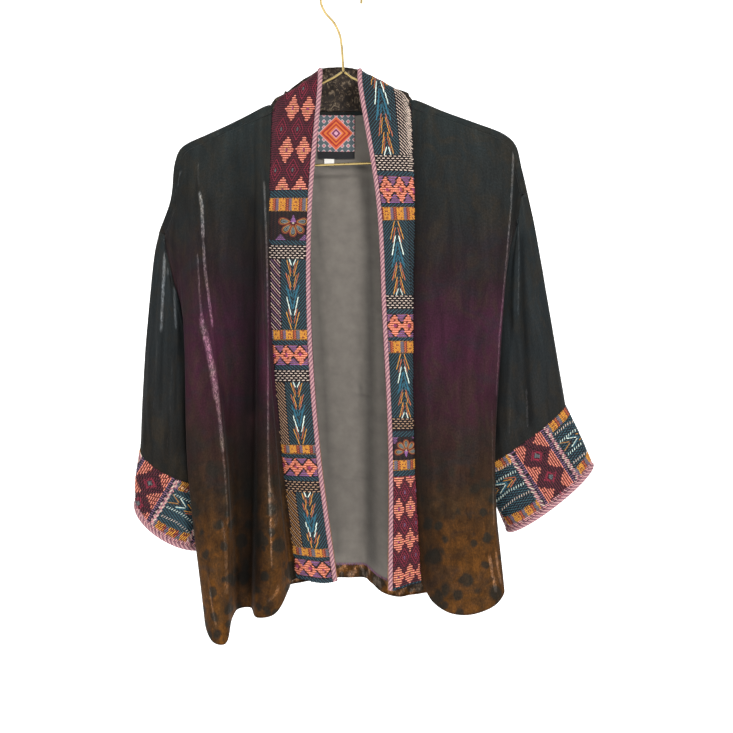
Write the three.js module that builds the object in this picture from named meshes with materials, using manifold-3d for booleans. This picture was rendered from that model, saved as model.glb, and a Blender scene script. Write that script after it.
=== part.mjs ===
// A velvet kimono jacket with embroidered bands and cuffs, hung on a thin brass wire hanger.
// Millimetres, +Z up, the front faces -Y. The origin is the inside top of the hook.
// "right" and "left" are the wearer's: right is -X.
import * as THREE from "three";
import { mergeVertices } from "three/addons/utils/BufferGeometryUtils.js";
import Module from "manifold-3d";

// Cloth
const VELVET_WALL = 2; // pile and backing
const BAND_WALL = 3; // embroidered layers of a band, a cuff or the neck band
const LINING_WALL = 1;
const HEM_WALL = 3.8; // two layers where the back hem is turned up
const HEM_TURN = 38; // height of the turned hem
const SEAM_GAP = 0.3; // between pieces that are sewn together
const BRAID_RADIUS = 3.2;
const LABEL = { width: 48, height: 57, wall: 1, centre: -7, top: -171, colour: "label" };
const TAB = { width: 13, height: 9, wall: 0.8, centre: -16, colour: "tab" };

// Wire hanger, tilted a little as it hangs
const WIRE_RADIUS = 1.6;
const WIRE_ARMS_ABOVE = -200; // the arms are the stretches of wire over this height
const HOOK_RADIUS = 26.6; // centreline, so the inside top of the hook is the origin
const HOOK_CENTRE_Z = -25;
const ROLL_DEPTH = 8; // half depth of the cloth where it rolls over the arm
const ROLL_HEIGHT = 14;
const SEAM_ANGLE = 75; // degrees forward of the ridge at which the shoulder seam lies
const SEAM_ALLOWANCE = 8; // degrees by which a front starts above that seam before it is cut

const v = (x, y, z) => new THREE.Vector3(x, y, z);
const radians = THREE.MathUtils.degToRad;

// Wire centreline in the plane of the hanger: neck, arms, round ends and bar, right to left.
const FRAME_WIRE = [
  { x: 1.0, z: -119 }, { x: -7, z: -124.6 }, { x: -30, z: -135.8 }, { x: -91, z: -165.6 },
  { x: -150, z: -193.6 }, { x: -192, z: -213 }, { x: -204, z: -220.5 }, { x: -208.5, z: -232 },
  { x: -203, z: -243 }, { x: -190, z: -246 }, { x: -100, z: -242.4 }, { x: 3, z: -238.5 },
  { x: 100, z: -234.9 }, { x: 200, z: -231.2 }, { x: 211, z: -227 }, { x: 216, z: -217 },
  { x: 211, z: -206 }, { x: 199, z: -199.5 }, { x: 150, z: -180.6 }, { x: 92, z: -159 },
  { x: 30, z: -133 }, { x: 12, z: -125 }, { x: 4.6, z: -119 },
];

// Stem of the hook, from the hanger's neck up to the round part.
const STEM = [
  { x: 2.8, z: -118.3 }, { x: 2.2, z: -104 }, { x: 0.8, z: -86 }, { x: -1.6, z: -71 },
  { x: -9, z: -55 }, { x: -20, z: -42.5 },
];
const HOOK_ARC = { from: 188, to: -10, step: 18 }; // degrees round the hook's centre

// Top line of the cloth over the arm and down past its end, from the neck to the armhole.
const RIDGE = {
  right: [
    { x: -91, z: -160.4 }, { x: -150, z: -188.6 }, { x: -192, z: -208.8 }, { x: -207, z: -216.5 },
    { x: -214, z: -226 }, { x: -217.5, z: -246 }, { x: -222, z: -285 }, { x: -230, z: -309 },
    { x: -236.5, z: -326 },
  ],
  left: [
    { x: 92, z: -153.7 }, { x: 150, z: -176 }, { x: 203, z: -195.5 }, { x: 219, z: -203 },
    { x: 226, z: -211 }, { x: 229, z: -221 }, { x: 232.5, z: -234 }, { x: 237.5, z: -254 },
    { x: 242.5, z: -276 },
  ],
};

// Vertical rails of each front, band seam to side seam. shoulder is the place on the ridge as a
// share of its length; the others are points at the chest, waist, hip and hem.
const FRONT_RAILS = {
  right: [
    { shoulder: 0.012, chest: [-92, -16, -286],
      waist: [-89, -24, -440], hip: [-76, -26, -606], hem: [-57, -22, -773] },
    { shoulder: 0.03, chest: [-95.5, -17.5, -287],
      waist: [-92.5, -25, -441], hip: [-80.5, -25.5, -607], hem: [-62, -19, -776] },
    { shoulder: 0.05, chest: [-99, -21, -289],
      waist: [-94.5, -33, -443], hip: [-82, -37, -610], hem: [-66, -33, -786] },
    { shoulder: 0.075, chest: [-103, -24, -290],
      waist: [-98, -40, -445], hip: [-88, -50, -613], hem: [-82, -58, -812] },
    { shoulder: 0.1, chest: [-108, -22, -291],
      waist: [-105, -35, -446], hip: [-103, -40, -615], hem: [-106, -50, -818] },
    { shoulder: 0.13, chest: [-113, -19, -292],
      waist: [-112, -22, -447], hip: [-115, -22, -615], hem: [-116, -24, -810] },
    { shoulder: 0.2, chest: [-133, -21, -293],
      waist: [-133, -26, -448], hip: [-132, -24, -615], hem: [-130, -22, -812] },
    { shoulder: 0.3, chest: [-158, -25, -297],
      waist: [-149, -34, -454], hip: [-141, -37, -619], hem: [-137, -43, -820] },
    { shoulder: 0.38, chest: [-177, -28, -302],
      waist: [-165, -43, -461], hip: [-148, -53, -624], hem: [-143, -63, -848] },
    { shoulder: 0.46, chest: [-193, -24, -308],
      waist: [-184, -39, -467], hip: [-170, -49, -629], hem: [-159, -59, -848] },
    { shoulder: 0.55, chest: [-208, -13, -318],
      waist: [-200, -28, -474], hip: [-195, -32, -634], hem: [-173, -37, -822] },
    { shoulder: 0.8, chest: [-218, -9, -338],
      waist: [-196, -14, -486], hip: [-179, -13, -637], hem: [-161, -14, -805] },
    { shoulder: 1.0, chest: [-226, -7, -359],
      waist: [-182, 0, -505], hip: [-156, -2, -640], hem: [-147, 0, -791] },
  ],
  left: [
    { shoulder: 0.012, chest: [95, -16, -286],
      waist: [93, -24, -440], hip: [94, -28, -606], hem: [103, -26, -778] },
    { shoulder: 0.04, chest: [99, -20, -287],
      waist: [97, -28, -442], hip: [98, -32, -609], hem: [108, -32, -787] },
    { shoulder: 0.1, chest: [112, -24, -289],
      waist: [110, -31, -446], hip: [111, -34, -613], hem: [118, -41, -801] },
    { shoulder: 0.19, chest: [135, -27, -292],
      waist: [134, -34, -450], hip: [134, -38, -617], hem: [137, -50, -812] },
    { shoulder: 0.32, chest: [160, -27, -296],
      waist: [160, -34, -455], hip: [160, -38, -621], hem: [161, -54, -814] },
    { shoulder: 0.45, chest: [189, -24, -301],
      waist: [183, -32, -462], hip: [180, -37, -626], hem: [185, -52, -808] },
    { shoulder: 0.56, chest: [207, -20, -306],
      waist: [196, -30, -469], hip: [190, -36, -631], hem: [200, -48, -799] },
    { shoulder: 0.7, chest: [217, -13, -312],
      waist: [204, -24, -476], hip: [196, -28, -636], hem: [209, -36, -786] },
    { shoulder: 0.86, chest: [222, -9, -318],
      waist: [195, -12, -472], hip: [183, -12, -638], hem: [195, -13, -783] },
    { shoulder: 1.0, chest: [226, -6, -325],
      waist: [178, 0, -466], hip: [165, -2, -640], hem: [173, 0, -782] },
  ],
};

// Rails of the back between the two side seams, right to left. Rails with a side start on the
// ridge at the same share as on the fronts, those with a neck point start at the neck seam.
// free is the top edge of the neck band above a rail.
const BACK_RAILS = [
  { side: "right", shoulder: 0.82, chest: [-215, 9, -340],
    waist: [-181, 13, -490], hip: [-153, 18, -637], hem: [-146, 18, -798] },
  { side: "right", shoulder: 0.62, chest: [-206, 14, -325],
    waist: [-173, 24, -479], hip: [-145, 30, -634], hem: [-137, 33, -805] },
  { side: "right", shoulder: 0.53, chest: [-192, 17, -313],
    waist: [-161, 27, -469], hip: [-135, 33, -630], hem: [-127, 36, -806] },
  { side: "right", shoulder: 0.36, chest: [-167, 19, -302],
    waist: [-142, 26, -458], hip: [-120, 30, -625], hem: [-113, 31, -803] },
  { side: "right", shoulder: 0.18, chest: [-130, 22, -294],
    waist: [-112, 25, -450], hip: [-96, 26, -620], hem: [-92, 24, -796] },
  { side: "right", shoulder: 0.012, joint: "right", chest: [-99, 25, -288],
    waist: [-84, 33, -444], hip: [-71, 38, -614], hem: [-67, 41, -790] },
  { side: "right", shoulder: 0, start: 0, free: [-31, 8, -123], chest: [-87, 26, -287],
    waist: [-72, 34, -443], hip: [-60, 38, -613], hem: [-55, 41, -788] },
  { neck: [-79, 10, -160.5], free: [-30, 15, -118], chest: [-72, 27, -286],
    waist: [-58, 34, -442], hip: [-47, 37, -611], hem: [-42, 39, -785] },
  { neck: [-60, 19, -163.5], free: [-27, 23, -113], chest: [-48, 27, -285],
    waist: [-33, 32, -441], hip: [-23, 35, -609], hem: [-19, 38, -781] },
  { neck: [-32, 25, -165.5], free: [-19, 31, -109], chest: [-22, 28, -285],
    waist: [-7, 33, -441], hip: [5, 37, -609], hem: [9, 40, -781] },
  { neck: [0, 27, -166], free: [0, 34, -107], chest: [4, 29, -285],
    waist: [18, 36, -441], hip: [27, 40, -610], hem: [33, 42, -782] },
  { neck: [24, 26, -165], free: [11, 33, -108], chest: [26, 28, -285],
    waist: [35, 32, -442], hip: [41, 33, -612], hem: [44, 33, -789] },
  { neck: [44, 23, -163], free: [20, 30, -109], chest: [46, 26, -285],
    waist: [50, 26, -443], hip: [53, 25, -614], hem: [55, 23, -798] },
  { neck: [65, 17, -160], free: [26, 22, -113], chest: [66, 24, -286],
    waist: [70, 27, -445], hip: [73, 26, -616], hem: [75, 24, -804] },
  { neck: [80, 9, -155.5], free: [28, 15, -117], chest: [82, 25, -287],
    waist: [85, 32, -446], hip: [87, 34, -618], hem: [90, 33, -803] },
  { side: "left", shoulder: 0, start: 0, free: [29, 8, -121], chest: [94, 26, -288],
    waist: [96, 34, -447], hip: [98, 36, -619], hem: [102, 36, -802] },
  { side: "left", shoulder: 0.012, joint: "left", chest: [105, 26, -289],
    waist: [107, 33, -449], hip: [108, 35, -620], hem: [113, 34, -800] },
  { side: "left", shoulder: 0.2, chest: [134, 24, -293],
    waist: [126, 29, -453], hip: [124, 30, -623], hem: [130, 30, -798] },
  { side: "left", shoulder: 0.4, chest: [167, 20, -299],
    waist: [147, 26, -458], hip: [141, 28, -628], hem: [148, 28, -796] },
  { side: "left", shoulder: 0.6, chest: [197, 16, -307],
    waist: [163, 24, -463], hip: [154, 27, -633], hem: [162, 28, -791] },
  { side: "left", shoulder: 0.7, chest: [209, 12, -312],
    waist: [170, 20, -466], hip: [159, 24, -635], hem: [168, 25, -789] },
  { side: "left", shoulder: 0.84, chest: [218, 9, -319],
    waist: [175, 13, -468], hip: [163, 17, -637], hem: [172, 17, -786] },
];
// Back half of each armhole, at the chest.
const ARMHOLE_BACK = { right: [-226, 7, -357], left: [226, 7, -323] };

// Rails of each band, free edge first. Each starts where it lies over the wire: x is its place
// there and rise its height over the middle of the wire.
const BAND_RAILS = {
  right: [
    { x: -31, rise: 9.5, chest: [-39, -20, -286],
      waist: [-40, -30, -440], hip: [-28, -34, -607], hem: [-8, -32, -776] },
    { x: -46, rise: 7.2, chest: [-53, -21, -286],
      waist: [-53, -31, -440], hip: [-40, -35, -607], hem: [-21, -33, -777] },
    { x: -66, rise: 5.8, chest: [-75, -20, -286],
      waist: [-72, -29, -440], hip: [-59, -32, -607], hem: [-40, -30, -775] },
    { x: -80, rise: 6.4, chest: [-86, -18, -286],
      waist: [-83, -26, -440], hip: [-70, -29, -607], hem: [-51, -26, -774] },
  ],
  left: [
    { x: 29, rise: 9.5, chest: [46, -20, -286],
      waist: [51, -30, -440], hip: [60, -35, -607], hem: [63, -37, -786] },
    { x: 45, rise: 7.2, chest: [60, -21, -286],
      waist: [63, -31, -440], hip: [71, -36, -607], hem: [75, -37, -784] },
    { x: 66, rise: 5.8, chest: [79, -20, -286],
      waist: [79, -29, -440], hip: [83, -33, -607], hem: [89, -32, -780] },
    { x: 81, rise: 6.4, chest: [89, -18, -286],
      waist: [88, -27, -440], hip: [90, -31, -607], hem: [98, -29, -779] },
  ],
};
const BAND_ROLL_ANGLES = [-10, 40, 95]; // forward round the wire, from the neck band's end

// Sections of each sleeve and cuff. outer and inner are the edges of the flattened tube as x and
// z; middle is its mid y, depth half its thickness, sag how far its faces hang below the edges.
const SLEEVE_SECTIONS = {
  right: [
    { outer: [-243, -350], inner: [-182, -525], middle: 6, depth: 14, sag: 0, folds: 2 },
    { outer: [-250, -415], inner: [-180, -560], middle: 8, depth: 22, sag: 0, folds: 3 },
    { outer: [-258, -513], inner: [-177, -606], middle: 10, depth: 28, sag: 6, folds: 2 },
    { outer: [-263, -609], inner: [-176, -650], middle: 10, depth: 28, sag: 14, folds: 0 },
  ],
  left: [
    { outer: [252, -318], inner: [178, -486], middle: 7, depth: 13, sag: 0, folds: 2 },
    { outer: [264, -382], inner: [176, -527], middle: 9, depth: 20, sag: 0, folds: 3 },
    { outer: [281, -480], inner: [174, -585], middle: 8, depth: 27, sag: 4, folds: 2 },
    { outer: [293, -552], inner: [182, -633], middle: 8, depth: 26, sag: 6, folds: 0 },
  ],
};
const CUFF_SECTIONS = {
  right: [
    { outer: [-268, -642], inner: [-173, -688], middle: 10, depth: 29, sag: 20, folds: 0 },
    { outer: [-269, -676], inner: [-170, -724], middle: 10, depth: 30, sag: 24, folds: 0 },
  ],
  left: [
    { outer: [311, -589], inner: [198, -672], middle: 8, depth: 27, sag: 9, folds: 0 },
    { outer: [327, -626], inner: [215, -711], middle: 8, depth: 28, sag: 10, folds: 0 },
  ],
};
const SLEEVE_WAVES = 3; // long folds on each face of a sleeve

// How many facets each span between two rows of a table gets.
const LEVEL_FACETS = [2, 3, 3, 3, 4]; // shoulder, collar, chest, waist, hip, hem
const ROLL_ANGLES = [SEAM_ANGLE, 38, 0, -38, -SEAM_ANGLE]; // shoulder seam to behind the arm
const NECK_ROW_SHARE = 0.012; // the same rows at the neck, as shares of the way to the chest
const NECK_BULGE = 2;
const BACK_FACETS = 2;
const BAND_FACETS = [1, 2, 1, 1];
const BRAID_STEPS = 40;
const WIRE_STEPS = 80;
const LINING_INSET = 3; // columns of the back left bare at each side
const LINING_ROWS_SHORT = 2; // rows of the back left to the turned hem
const NECK_FIRST = 6 * BACK_FACETS; // columns of the back that end at the neck seam
const NECK_LAST = 17 * BACK_FACETS;
const FRONT_FACETS = { right: [1, 1, 2, 2, 2, 2, 2, 2, 2, 2, 2, 2], left: [1, 2, 3, 3, 3, 2, 2, 2, 2] };
const SLEEVE_FACETS = [1, 2, 3, 3];
const CUFF_FACETS = [2, 2];
const ALLOWANCE_SHARE = 0.5; // of a front's first facet, cut away at the shoulder seam
const CUTTER_ROWS = 3; // of the back, from its upper edge
const COLLAR_ROW_SHARE = 0.1; // of the way from the shoulder seam to the chest
const CUTTER_SPARE = 1.2; // by which a seam cutter stands off both faces of the cloth

const COLOURS = {
  velvet: 0x2c3036, lining: 0x827c74, embroidery: 0x6b3a3c, braid: 0xb98a90, label: 0x5f6f74,
  tab: 0xe8e6e0, brass: 0xb08d4c,
};

// Parameters that split each span of a smooth run into its count of facets.
function steps(counts) {
  const list = [0];
  counts.forEach((count, span) => {
    for (let i = 1; i <= count; i++) list.push(span + i / count);
  });
  return list;
}

// Points of a smooth run through the given points, at parameters counted in points.
function along(points, params) {
  const curve = new THREE.CatmullRomCurve3(points, false, "centripetal");
  return params.map((p) => curve.getPoint(p / (points.length - 1)));
}

// A grid [across][down] of points on the smooth surface through the rails.
function surface(rails, downParams, acrossParams) {
  const lines = rails.map((rail) => along(rail, downParams));
  const rows = downParams.map((_, j) => along(lines.map((line) => line[j]), acrossParams));
  return acrossParams.map((_, i) => rows.map((row) => row[i]));
}

// Outward unit normals of a grid. facing is 1 where across x down points out, else -1.
function normalsOf(grid, facing, closed = false) {
  const count = grid.length;
  return grid.map((line, i) =>
    line.map((_, j) => {
      const before = closed ? grid[(i + count - 1) % count] : grid[Math.max(i - 1, 0)];
      const after = closed ? grid[(i + 1) % count] : grid[Math.min(i + 1, count - 1)];
      const across = after[j].clone().sub(before[j]);
      const down = line[Math.min(j + 1, line.length - 1)].clone().sub(line[Math.max(j - 1, 0)]);
      return across.cross(down).multiplyScalar(facing).normalize();
    }),
  );
}

// One closed wall: the grid is its outer face and wallAt(i, j) its thickness.
function shell(grid, normals, wallAt, facing, closed = false) {
  const across = grid.length;
  const down = grid[0].length;
  const positions = [];
  const index = [];
  grid.forEach((line) => line.forEach((p) => positions.push(p.x, p.y, p.z)));
  grid.forEach((line, i) =>
    line.forEach((p, j) => {
      const inner = p.clone().addScaledVector(normals[i][j], -wallAt(i, j));
      positions.push(inner.x, inner.y, inner.z);
    }),
  );
  const outer = (i, j) => (i % across) * down + j;
  const inner = (i, j) => across * down + outer(i, j);
  const quad = (a, b, c, d) => {
    if (facing > 0) index.push(a, b, c, a, c, d);
    else index.push(a, c, b, a, d, c);
  };
  const lastDown = down - 1;
  const spans = closed ? across : across - 1;
  for (let i = 0; i < spans; i++) {
    for (let j = 0; j < lastDown; j++) {
      quad(outer(i, j), outer(i + 1, j), outer(i + 1, j + 1), outer(i, j + 1));
      quad(inner(i, j), inner(i, j + 1), inner(i + 1, j + 1), inner(i + 1, j));
    }
    quad(outer(i + 1, 0), outer(i, 0), inner(i, 0), inner(i + 1, 0));
    quad(outer(i, lastDown), outer(i + 1, lastDown), inner(i + 1, lastDown), inner(i, lastDown));
  }
  if (!closed) {
    const last = across - 1;
    for (let j = 0; j < lastDown; j++) {
      quad(outer(0, j), outer(0, j + 1), inner(0, j + 1), inner(0, j));
      quad(outer(last, j + 1), outer(last, j), inner(last, j), inner(last, j + 1));
    }
  }
  const geometry = new THREE.BufferGeometry();
  geometry.setAttribute("position", new THREE.Float32BufferAttribute(positions, 3));
  geometry.setIndex(index);
  return geometry;
}

// The next piece's edge: each edge point moved off its own cloth by the seam gap, in the cloth.
function acrossSeam(edge, behind, normals, distance = SEAM_GAP, closed = false) {
  const count = edge.length;
  return edge.map((point, k) => {
    const next = edge[closed ? (k + 1) % count : Math.min(k + 1, count - 1)];
    const previous = edge[closed ? (k + count - 1) % count : Math.max(k - 1, 0)];
    const run = next.clone().sub(previous).normalize();
    const away = point.clone().sub(behind[k]);
    away.addScaledVector(run, -away.dot(run)).addScaledVector(normals[k], -away.dot(normals[k]));
    return point.clone().addScaledVector(away.normalize(), distance);
  });
}

// Point on the ridge at a share of its length, with its outward normal in the hanger's plane.
function ridgeAt(side, share) {
  const curve = new THREE.CatmullRomCurve3(RIDGE[side].map((p) => v(p.x, 0, p.z)), false, "centripetal");
  const run = curve.getTangentAt(share);
  const out = side === "right" ? v(run.z, 0, -run.x) : v(-run.z, 0, run.x);
  return { point: curve.getPointAt(share), out };
}

// Cloth rolled over the arm, at an angle forward of the ridge.
function rollPoint(side, share, angle) {
  const { point, out } = ridgeAt(side, share);
  point.addScaledVector(out, ROLL_HEIGHT * (Math.cos(radians(angle)) - 1));
  point.y -= ROLL_DEPTH * Math.sin(radians(angle));
  return point;
}

const wasm = await Module();
wasm.setup();

function solidOf(geometry) {
  const bare = geometry.clone();
  bare.deleteAttribute("normal");
  bare.deleteAttribute("uv");
  const merged = mergeVertices(bare, 1e-4);
  return new wasm.Manifold(
    new wasm.Mesh({
      numProp: 3,
      vertProperties: merged.attributes.position.array,
      triVerts: new Uint32Array(merged.index.array),
    }),
  );
}

// A piece with what lies in its neighbours' way cut off: seam allowances, and the groove in which
// the wire lies. Only the largest body is kept.
function trimmed(geometry, cutters) {
  let solid = solidOf(geometry);
  for (const cutter of cutters) solid = solid.subtract(solidOf(cutter));
  const mesh = solid.decompose().sort((a, b) => b.volume() - a.volume())[0].getMesh();
  const cut = new THREE.BufferGeometry();
  cut.setAttribute("position", new THREE.BufferAttribute(new Float32Array(mesh.vertProperties), 3));
  cut.setIndex(new THREE.BufferAttribute(new Uint32Array(mesh.triVerts), 1));
  return cut;
}

// Copies of a neighbour moved by the seam gap each way, which cut a piece clear of it.
function aroundOf(neighbour) {
  const ways = [[1, 0, 0], [-1, 0, 0], [0, 1, 0], [0, -1, 0], [0, 0, 1], [0, 0, -1]];
  return ways.map((way) => neighbour.clone().translate(...way.map((c) => c * SEAM_GAP)));
}

const group = new THREE.Group();
function add(name, geometry, colour, roughness, metalness = 0) {
  const material = new THREE.MeshStandardMaterial({ color: COLOURS[colour], roughness, metalness });
  const mesh = new THREE.Mesh(geometry, material);
  mesh.name = name;
  group.add(mesh);
}

const SIDES = ["right", "left"];
const facingOf = { right: 1, left: -1 };
const last = (list) => list[list.length - 1];
const railPoints = (rail) => [v(...rail.chest), v(...rail.waist), v(...rail.hip), v(...rail.hem)];
function shoulderPoints(side, rail) {
  const top = rollPoint(side, rail.shoulder, SEAM_ANGLE - SEAM_ALLOWANCE);
  return [top, top.clone().lerp(v(...rail.chest), COLLAR_ROW_SHARE)];
}

// Fronts, from the shoulder seam to the hem and from the band seam to the armhole and side seam.
const levels = steps(LEVEL_FACETS);
const UNDERARM_ROW = LEVEL_FACETS[0] + LEVEL_FACETS[1] + LEVEL_FACETS[2];
function front(side) {
  const rails = FRONT_RAILS[side].map((rail) => [...shoulderPoints(side, rail), ...railPoints(rail)]);
  const grid = surface(rails, levels, steps(FRONT_FACETS[side]));
  const normals = normalsOf(grid, facingOf[side]);
  return { grid, normals, edge: last(grid), behindEdge: grid.at(-2), edgeNormals: last(normals) };
}

// The back starts at the shoulder seams, rolls over the arms and hangs behind.
const ROLL_ROWS = ROLL_ANGLES.length - 1;
const backLevels = steps([...Array(ROLL_ROWS).fill(1), ...LEVEL_FACETS.slice(1)]);
const BACK_OFFSET = ROLL_ROWS - LEVEL_FACETS[0]; // a back row's place against the same front row
function backRail(rail) {
  const head = ROLL_ANGLES.map((angle, k) => {
    if (rail.neck) return v(...rail.neck).lerp(v(...rail.chest), k * NECK_ROW_SHARE);
    const fromRidge = -SEAM_ANGLE * (k / ROLL_ROWS);
    return rollPoint(rail.side, rail.shoulder, rail.start === 0 ? fromRidge : angle);
  });
  return [...head, ...railPoints(rail)];
}
const sideRail = (side) => backRail({ ...last(FRONT_RAILS[side]), side, chest: ARMHOLE_BACK[side] });

// The upper edge of the back between two columns, thick enough to cut its neighbours clear of it.
function backEdgeCutter(panel, from, to) {
  const columns = [...panel.grid.keys()].slice(Math.max(from, 0), to + 1);
  const normals = columns.map((i) => panel.normals[i].slice(0, CUTTER_ROWS));
  const rows = columns.map((i) => panel.grid[i].slice(0, CUTTER_ROWS));
  const first = (lists, k) => lists.map((line) => line[k]);
  const seam = acrossSeam(first(rows, 0), first(rows, 1), first(normals, 0));
  const grid = rows.map((line, i) =>
    [seam[i], ...line.slice(1)].map((p, j) => p.clone().addScaledVector(normals[i][j], CUTTER_SPARE)),
  );
  return shell(grid, normals, () => VELVET_WALL + 2 * CUTTER_SPARE, 1);
}
function wireCutter() {
  return roundBar(FRAME_WIRE.map((p) => v(p.x, 0, p.z)), WIRE_RADIUS + SEAM_GAP, 8, WIRE_STEPS);
}

// A front is cut along the shoulder seam, where the back's edge lies.
function addFront(side, panel, backPanel) {
  const [from, to] = side === "right" ? [0, NECK_FIRST + 1] : [NECK_LAST - 1, backPanel.grid.length];
  const cloth = shell(panel.grid, panel.normals, () => VELVET_WALL, facingOf[side]);
  add("front_" + side, trimmed(cloth, [backEdgeCutter(backPanel, from, to)]), "velvet", 0.8);
}

function back(fronts) {
  const rails = [sideRail("right"), ...BACK_RAILS.map(backRail), sideRail("left")];
  const grid = surface(rails, backLevels, steps(rails.slice(1).map(() => BACK_FACETS)));
  const normals = normalsOf(grid, 1);
  for (const [side, line, lineNormals] of [
    ["right", grid[0], normals[0]],
    ["left", last(grid), last(normals)],
  ]) {
    const panel = fronts[side];
    const seam = acrossSeam(panel.edge, panel.behindEdge, panel.edgeNormals);
    for (let j = UNDERARM_ROW; j < seam.length; j++) {
      line[BACK_OFFSET + j] = seam[j];
      lineNormals[BACK_OFFSET + j] = panel.edgeNormals[j].clone();
    }
  }
  const wallAt = (i, j) => (last(grid[i]).distanceTo(grid[i][j]) < HEM_TURN ? HEM_WALL : VELVET_WALL);
  const cloth = trimmed(shell(grid, normals, wallAt, 1), [wireCutter()]);
  add("back", cloth, "velvet", 0.8);
  return { grid, normals, cloth };
}

// Grey lining inside the back, from the neck seam and shoulders to the turned hem.
function lining(panel) {
  const depth = VELVET_WALL + 2 * SEAM_GAP;
  const rows = (line) => line.slice(ROLL_ROWS, line.length - LINING_ROWS_SHORT);
  const inset = (list) => list.slice(LINING_INSET, list.length - LINING_INSET);
  const normals = inset(panel.normals.map(rows));
  const grid = inset(panel.grid.map(rows)).map((line, i) =>
    line.map((p, j) => p.clone().addScaledVector(normals[i][j], -depth)),
  );
  add("back_lining", shell(grid, normals, () => LINING_WALL, 1), "lining", 0.7);
}

// The place behind x, z on the back, moved in by a depth.
function onBack(panel, depth, x, z) {
  const inside = (i, j) => panel.grid[i][j].clone().addScaledVector(panel.normals[i][j], -depth);
  for (let i = NECK_FIRST; i < NECK_LAST; i++) {
    for (let j = 0; j < panel.grid[i].length - 1; j++) {
      const [a, b, c] = [inside(i, j), inside(i + 1, j), inside(i, j + 1)];
      const share = (x - a.x - ((z - a.z) * (c.x - a.x)) / (c.z - a.z)) / (b.x - a.x);
      const drop = (z - a.z - share * (b.z - a.z)) / (c.z - a.z);
      if (share < 0 || share > 1 || drop < 0 || drop > 1) continue;
      return v(x, a.y + share * (b.y - a.y) + drop * (c.y - a.y), z);
    }
  }
  throw new Error("no cloth behind " + x + ", " + z);
}

// A flat woven piece sewn to the lining, hanging down from a height.
function sewnPatch(name, panel, patch, top) {
  const depth = VELVET_WALL + LINING_WALL + 3 * SEAM_GAP;
  const grid = [0, 0.25, 0.5, 0.75, 1].map((i) =>
    [0, 0.34, 0.67, 1].map((j) => {
      const spot = onBack(panel, depth, patch.centre + (i - 0.5) * patch.width, top - j * patch.height);
      spot.y -= SEAM_GAP;
      return spot;
    }),
  );
  const normals = grid.map((line) => line.map(() => v(0, 1, 0)));
  add(name, shell(grid, normals, () => patch.wall, 1), patch.colour, 0.8);
}

// Point round the wire's shoulder at a place x, at an angle forward of its top.
function aroundWire(x, radius, angle) {
  const arms = FRAME_WIRE.filter((p) => p.z > WIRE_ARMS_ABOVE && p.x * x > 0);
  const k = arms.findIndex((p, i) => i > 0 && (p.x - x) * (arms[i - 1].x - x) <= 0);
  const z = THREE.MathUtils.mapLinear(x, arms[k - 1].x, arms[k].x, arms[k - 1].z, arms[k].z);
  return v(x, -radius * Math.sin(radians(angle)), z + radius * Math.cos(radians(angle)));
}

// Embroidered band on each front's edge, free edge first, up to the ridge of the collar.
function band(side, panel, backPanel) {
  const seamRail = FRONT_RAILS[side][0];
  const [top, collar] = shoulderPoints(side, seamRail);
  const rails = [
    ...BAND_RAILS[side].map((rail) => [
      ...BAND_ROLL_ANGLES.map((angle) => aroundWire(rail.x, rail.rise, angle)), ...railPoints(rail),
    ]),
    [top, top.clone().lerp(collar, 0.5), collar, ...railPoints(seamRail)],
  ];
  const grid = surface(rails, steps([1, 1, ...LEVEL_FACETS.slice(1)]), steps(BAND_FACETS));
  const normals = normalsOf(grid, facingOf[side]);
  const seam = acrossSeam(panel.grid[0], panel.grid[1], panel.normals[0]);
  seam[0].lerp(seam[1], ALLOWANCE_SHARE);
  grid[grid.length - 1] = seam;
  normals[normals.length - 1] = panel.normals[0].map((n) => n.clone());
  const corner = side === "right" ? NECK_FIRST : NECK_LAST;
  const cutters = [backEdgeCutter(backPanel, corner - 2, corner + 2), wireCutter()];
  const cloth = trimmed(shell(grid, normals, () => BAND_WALL, facingOf[side]), cutters);
  add("band_" + side, cloth, "embroidery", 0.9);
  return { grid, normals, cloth };
}

// Plain velvet band round the back of the neck, between the two embroidered bands.
function neckBand(panel, bands) {
  const neckRails = BACK_RAILS.filter((rail) => rail.free || rail.joint);
  const edge = panel.grid.slice(NECK_FIRST, NECK_LAST + 1);
  const edgeNormals = panel.normals.slice(NECK_FIRST, NECK_LAST + 1).map((line) => line[0]);
  const [top, below] = [0, 1].map((k) => edge.map((line) => line[k]));
  const seam = acrossSeam(top, below, edgeNormals, 3 * SEAM_GAP);
  const rails = neckRails.map((rail, k) => {
    const low = seam[k * BACK_FACETS];
    if (rail.joint) {
      const over = BAND_RAILS[rail.joint].map((row) => aroundWire(row.x, row.rise, BAND_ROLL_ANGLES[0]));
      return [...over, low.clone()];
    }
    const free = v(...rail.free);
    const bulge = v(0, 0, 0).addScaledVector(edgeNormals[k * BACK_FACETS], NECK_BULGE);
    const between = (share) => free.clone().lerp(low, share).add(bulge);
    return [free, between(0.25), between(0.7), between(0.92), low.clone()];
  });
  const grid = surface(rails, steps(BAND_FACETS), steps(neckRails.slice(1).map(() => BACK_FACETS)));
  const normals = normalsOf(grid, 1);
  grid.forEach((line, i) => {
    line[line.length - 1] = seam[i];
    normals[i][line.length - 1] = edgeNormals[i].clone();
  });
  for (const [side, index] of [["right", 0], ["left", grid.length - 1]]) {
    const joint = bands[side].grid.map((line) => line[0]);
    const topNormals = bands[side].normals.map((line) => line[0]);
    grid[index] = acrossSeam(joint, bands[side].grid.map((line) => line[1]), topNormals, 3 * SEAM_GAP);
    normals[index] = topNormals.map((n) => n.clone());
  }
  const neighbours = [panel.cloth, bands.right.cloth, bands.left.cloth];
  const cutters = [...neighbours.flatMap(aroundOf), wireCutter()];
  add("neck_band", trimmed(shell(grid, normals, () => BAND_WALL, 1), cutters), "velvet", 0.8);
}

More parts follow.
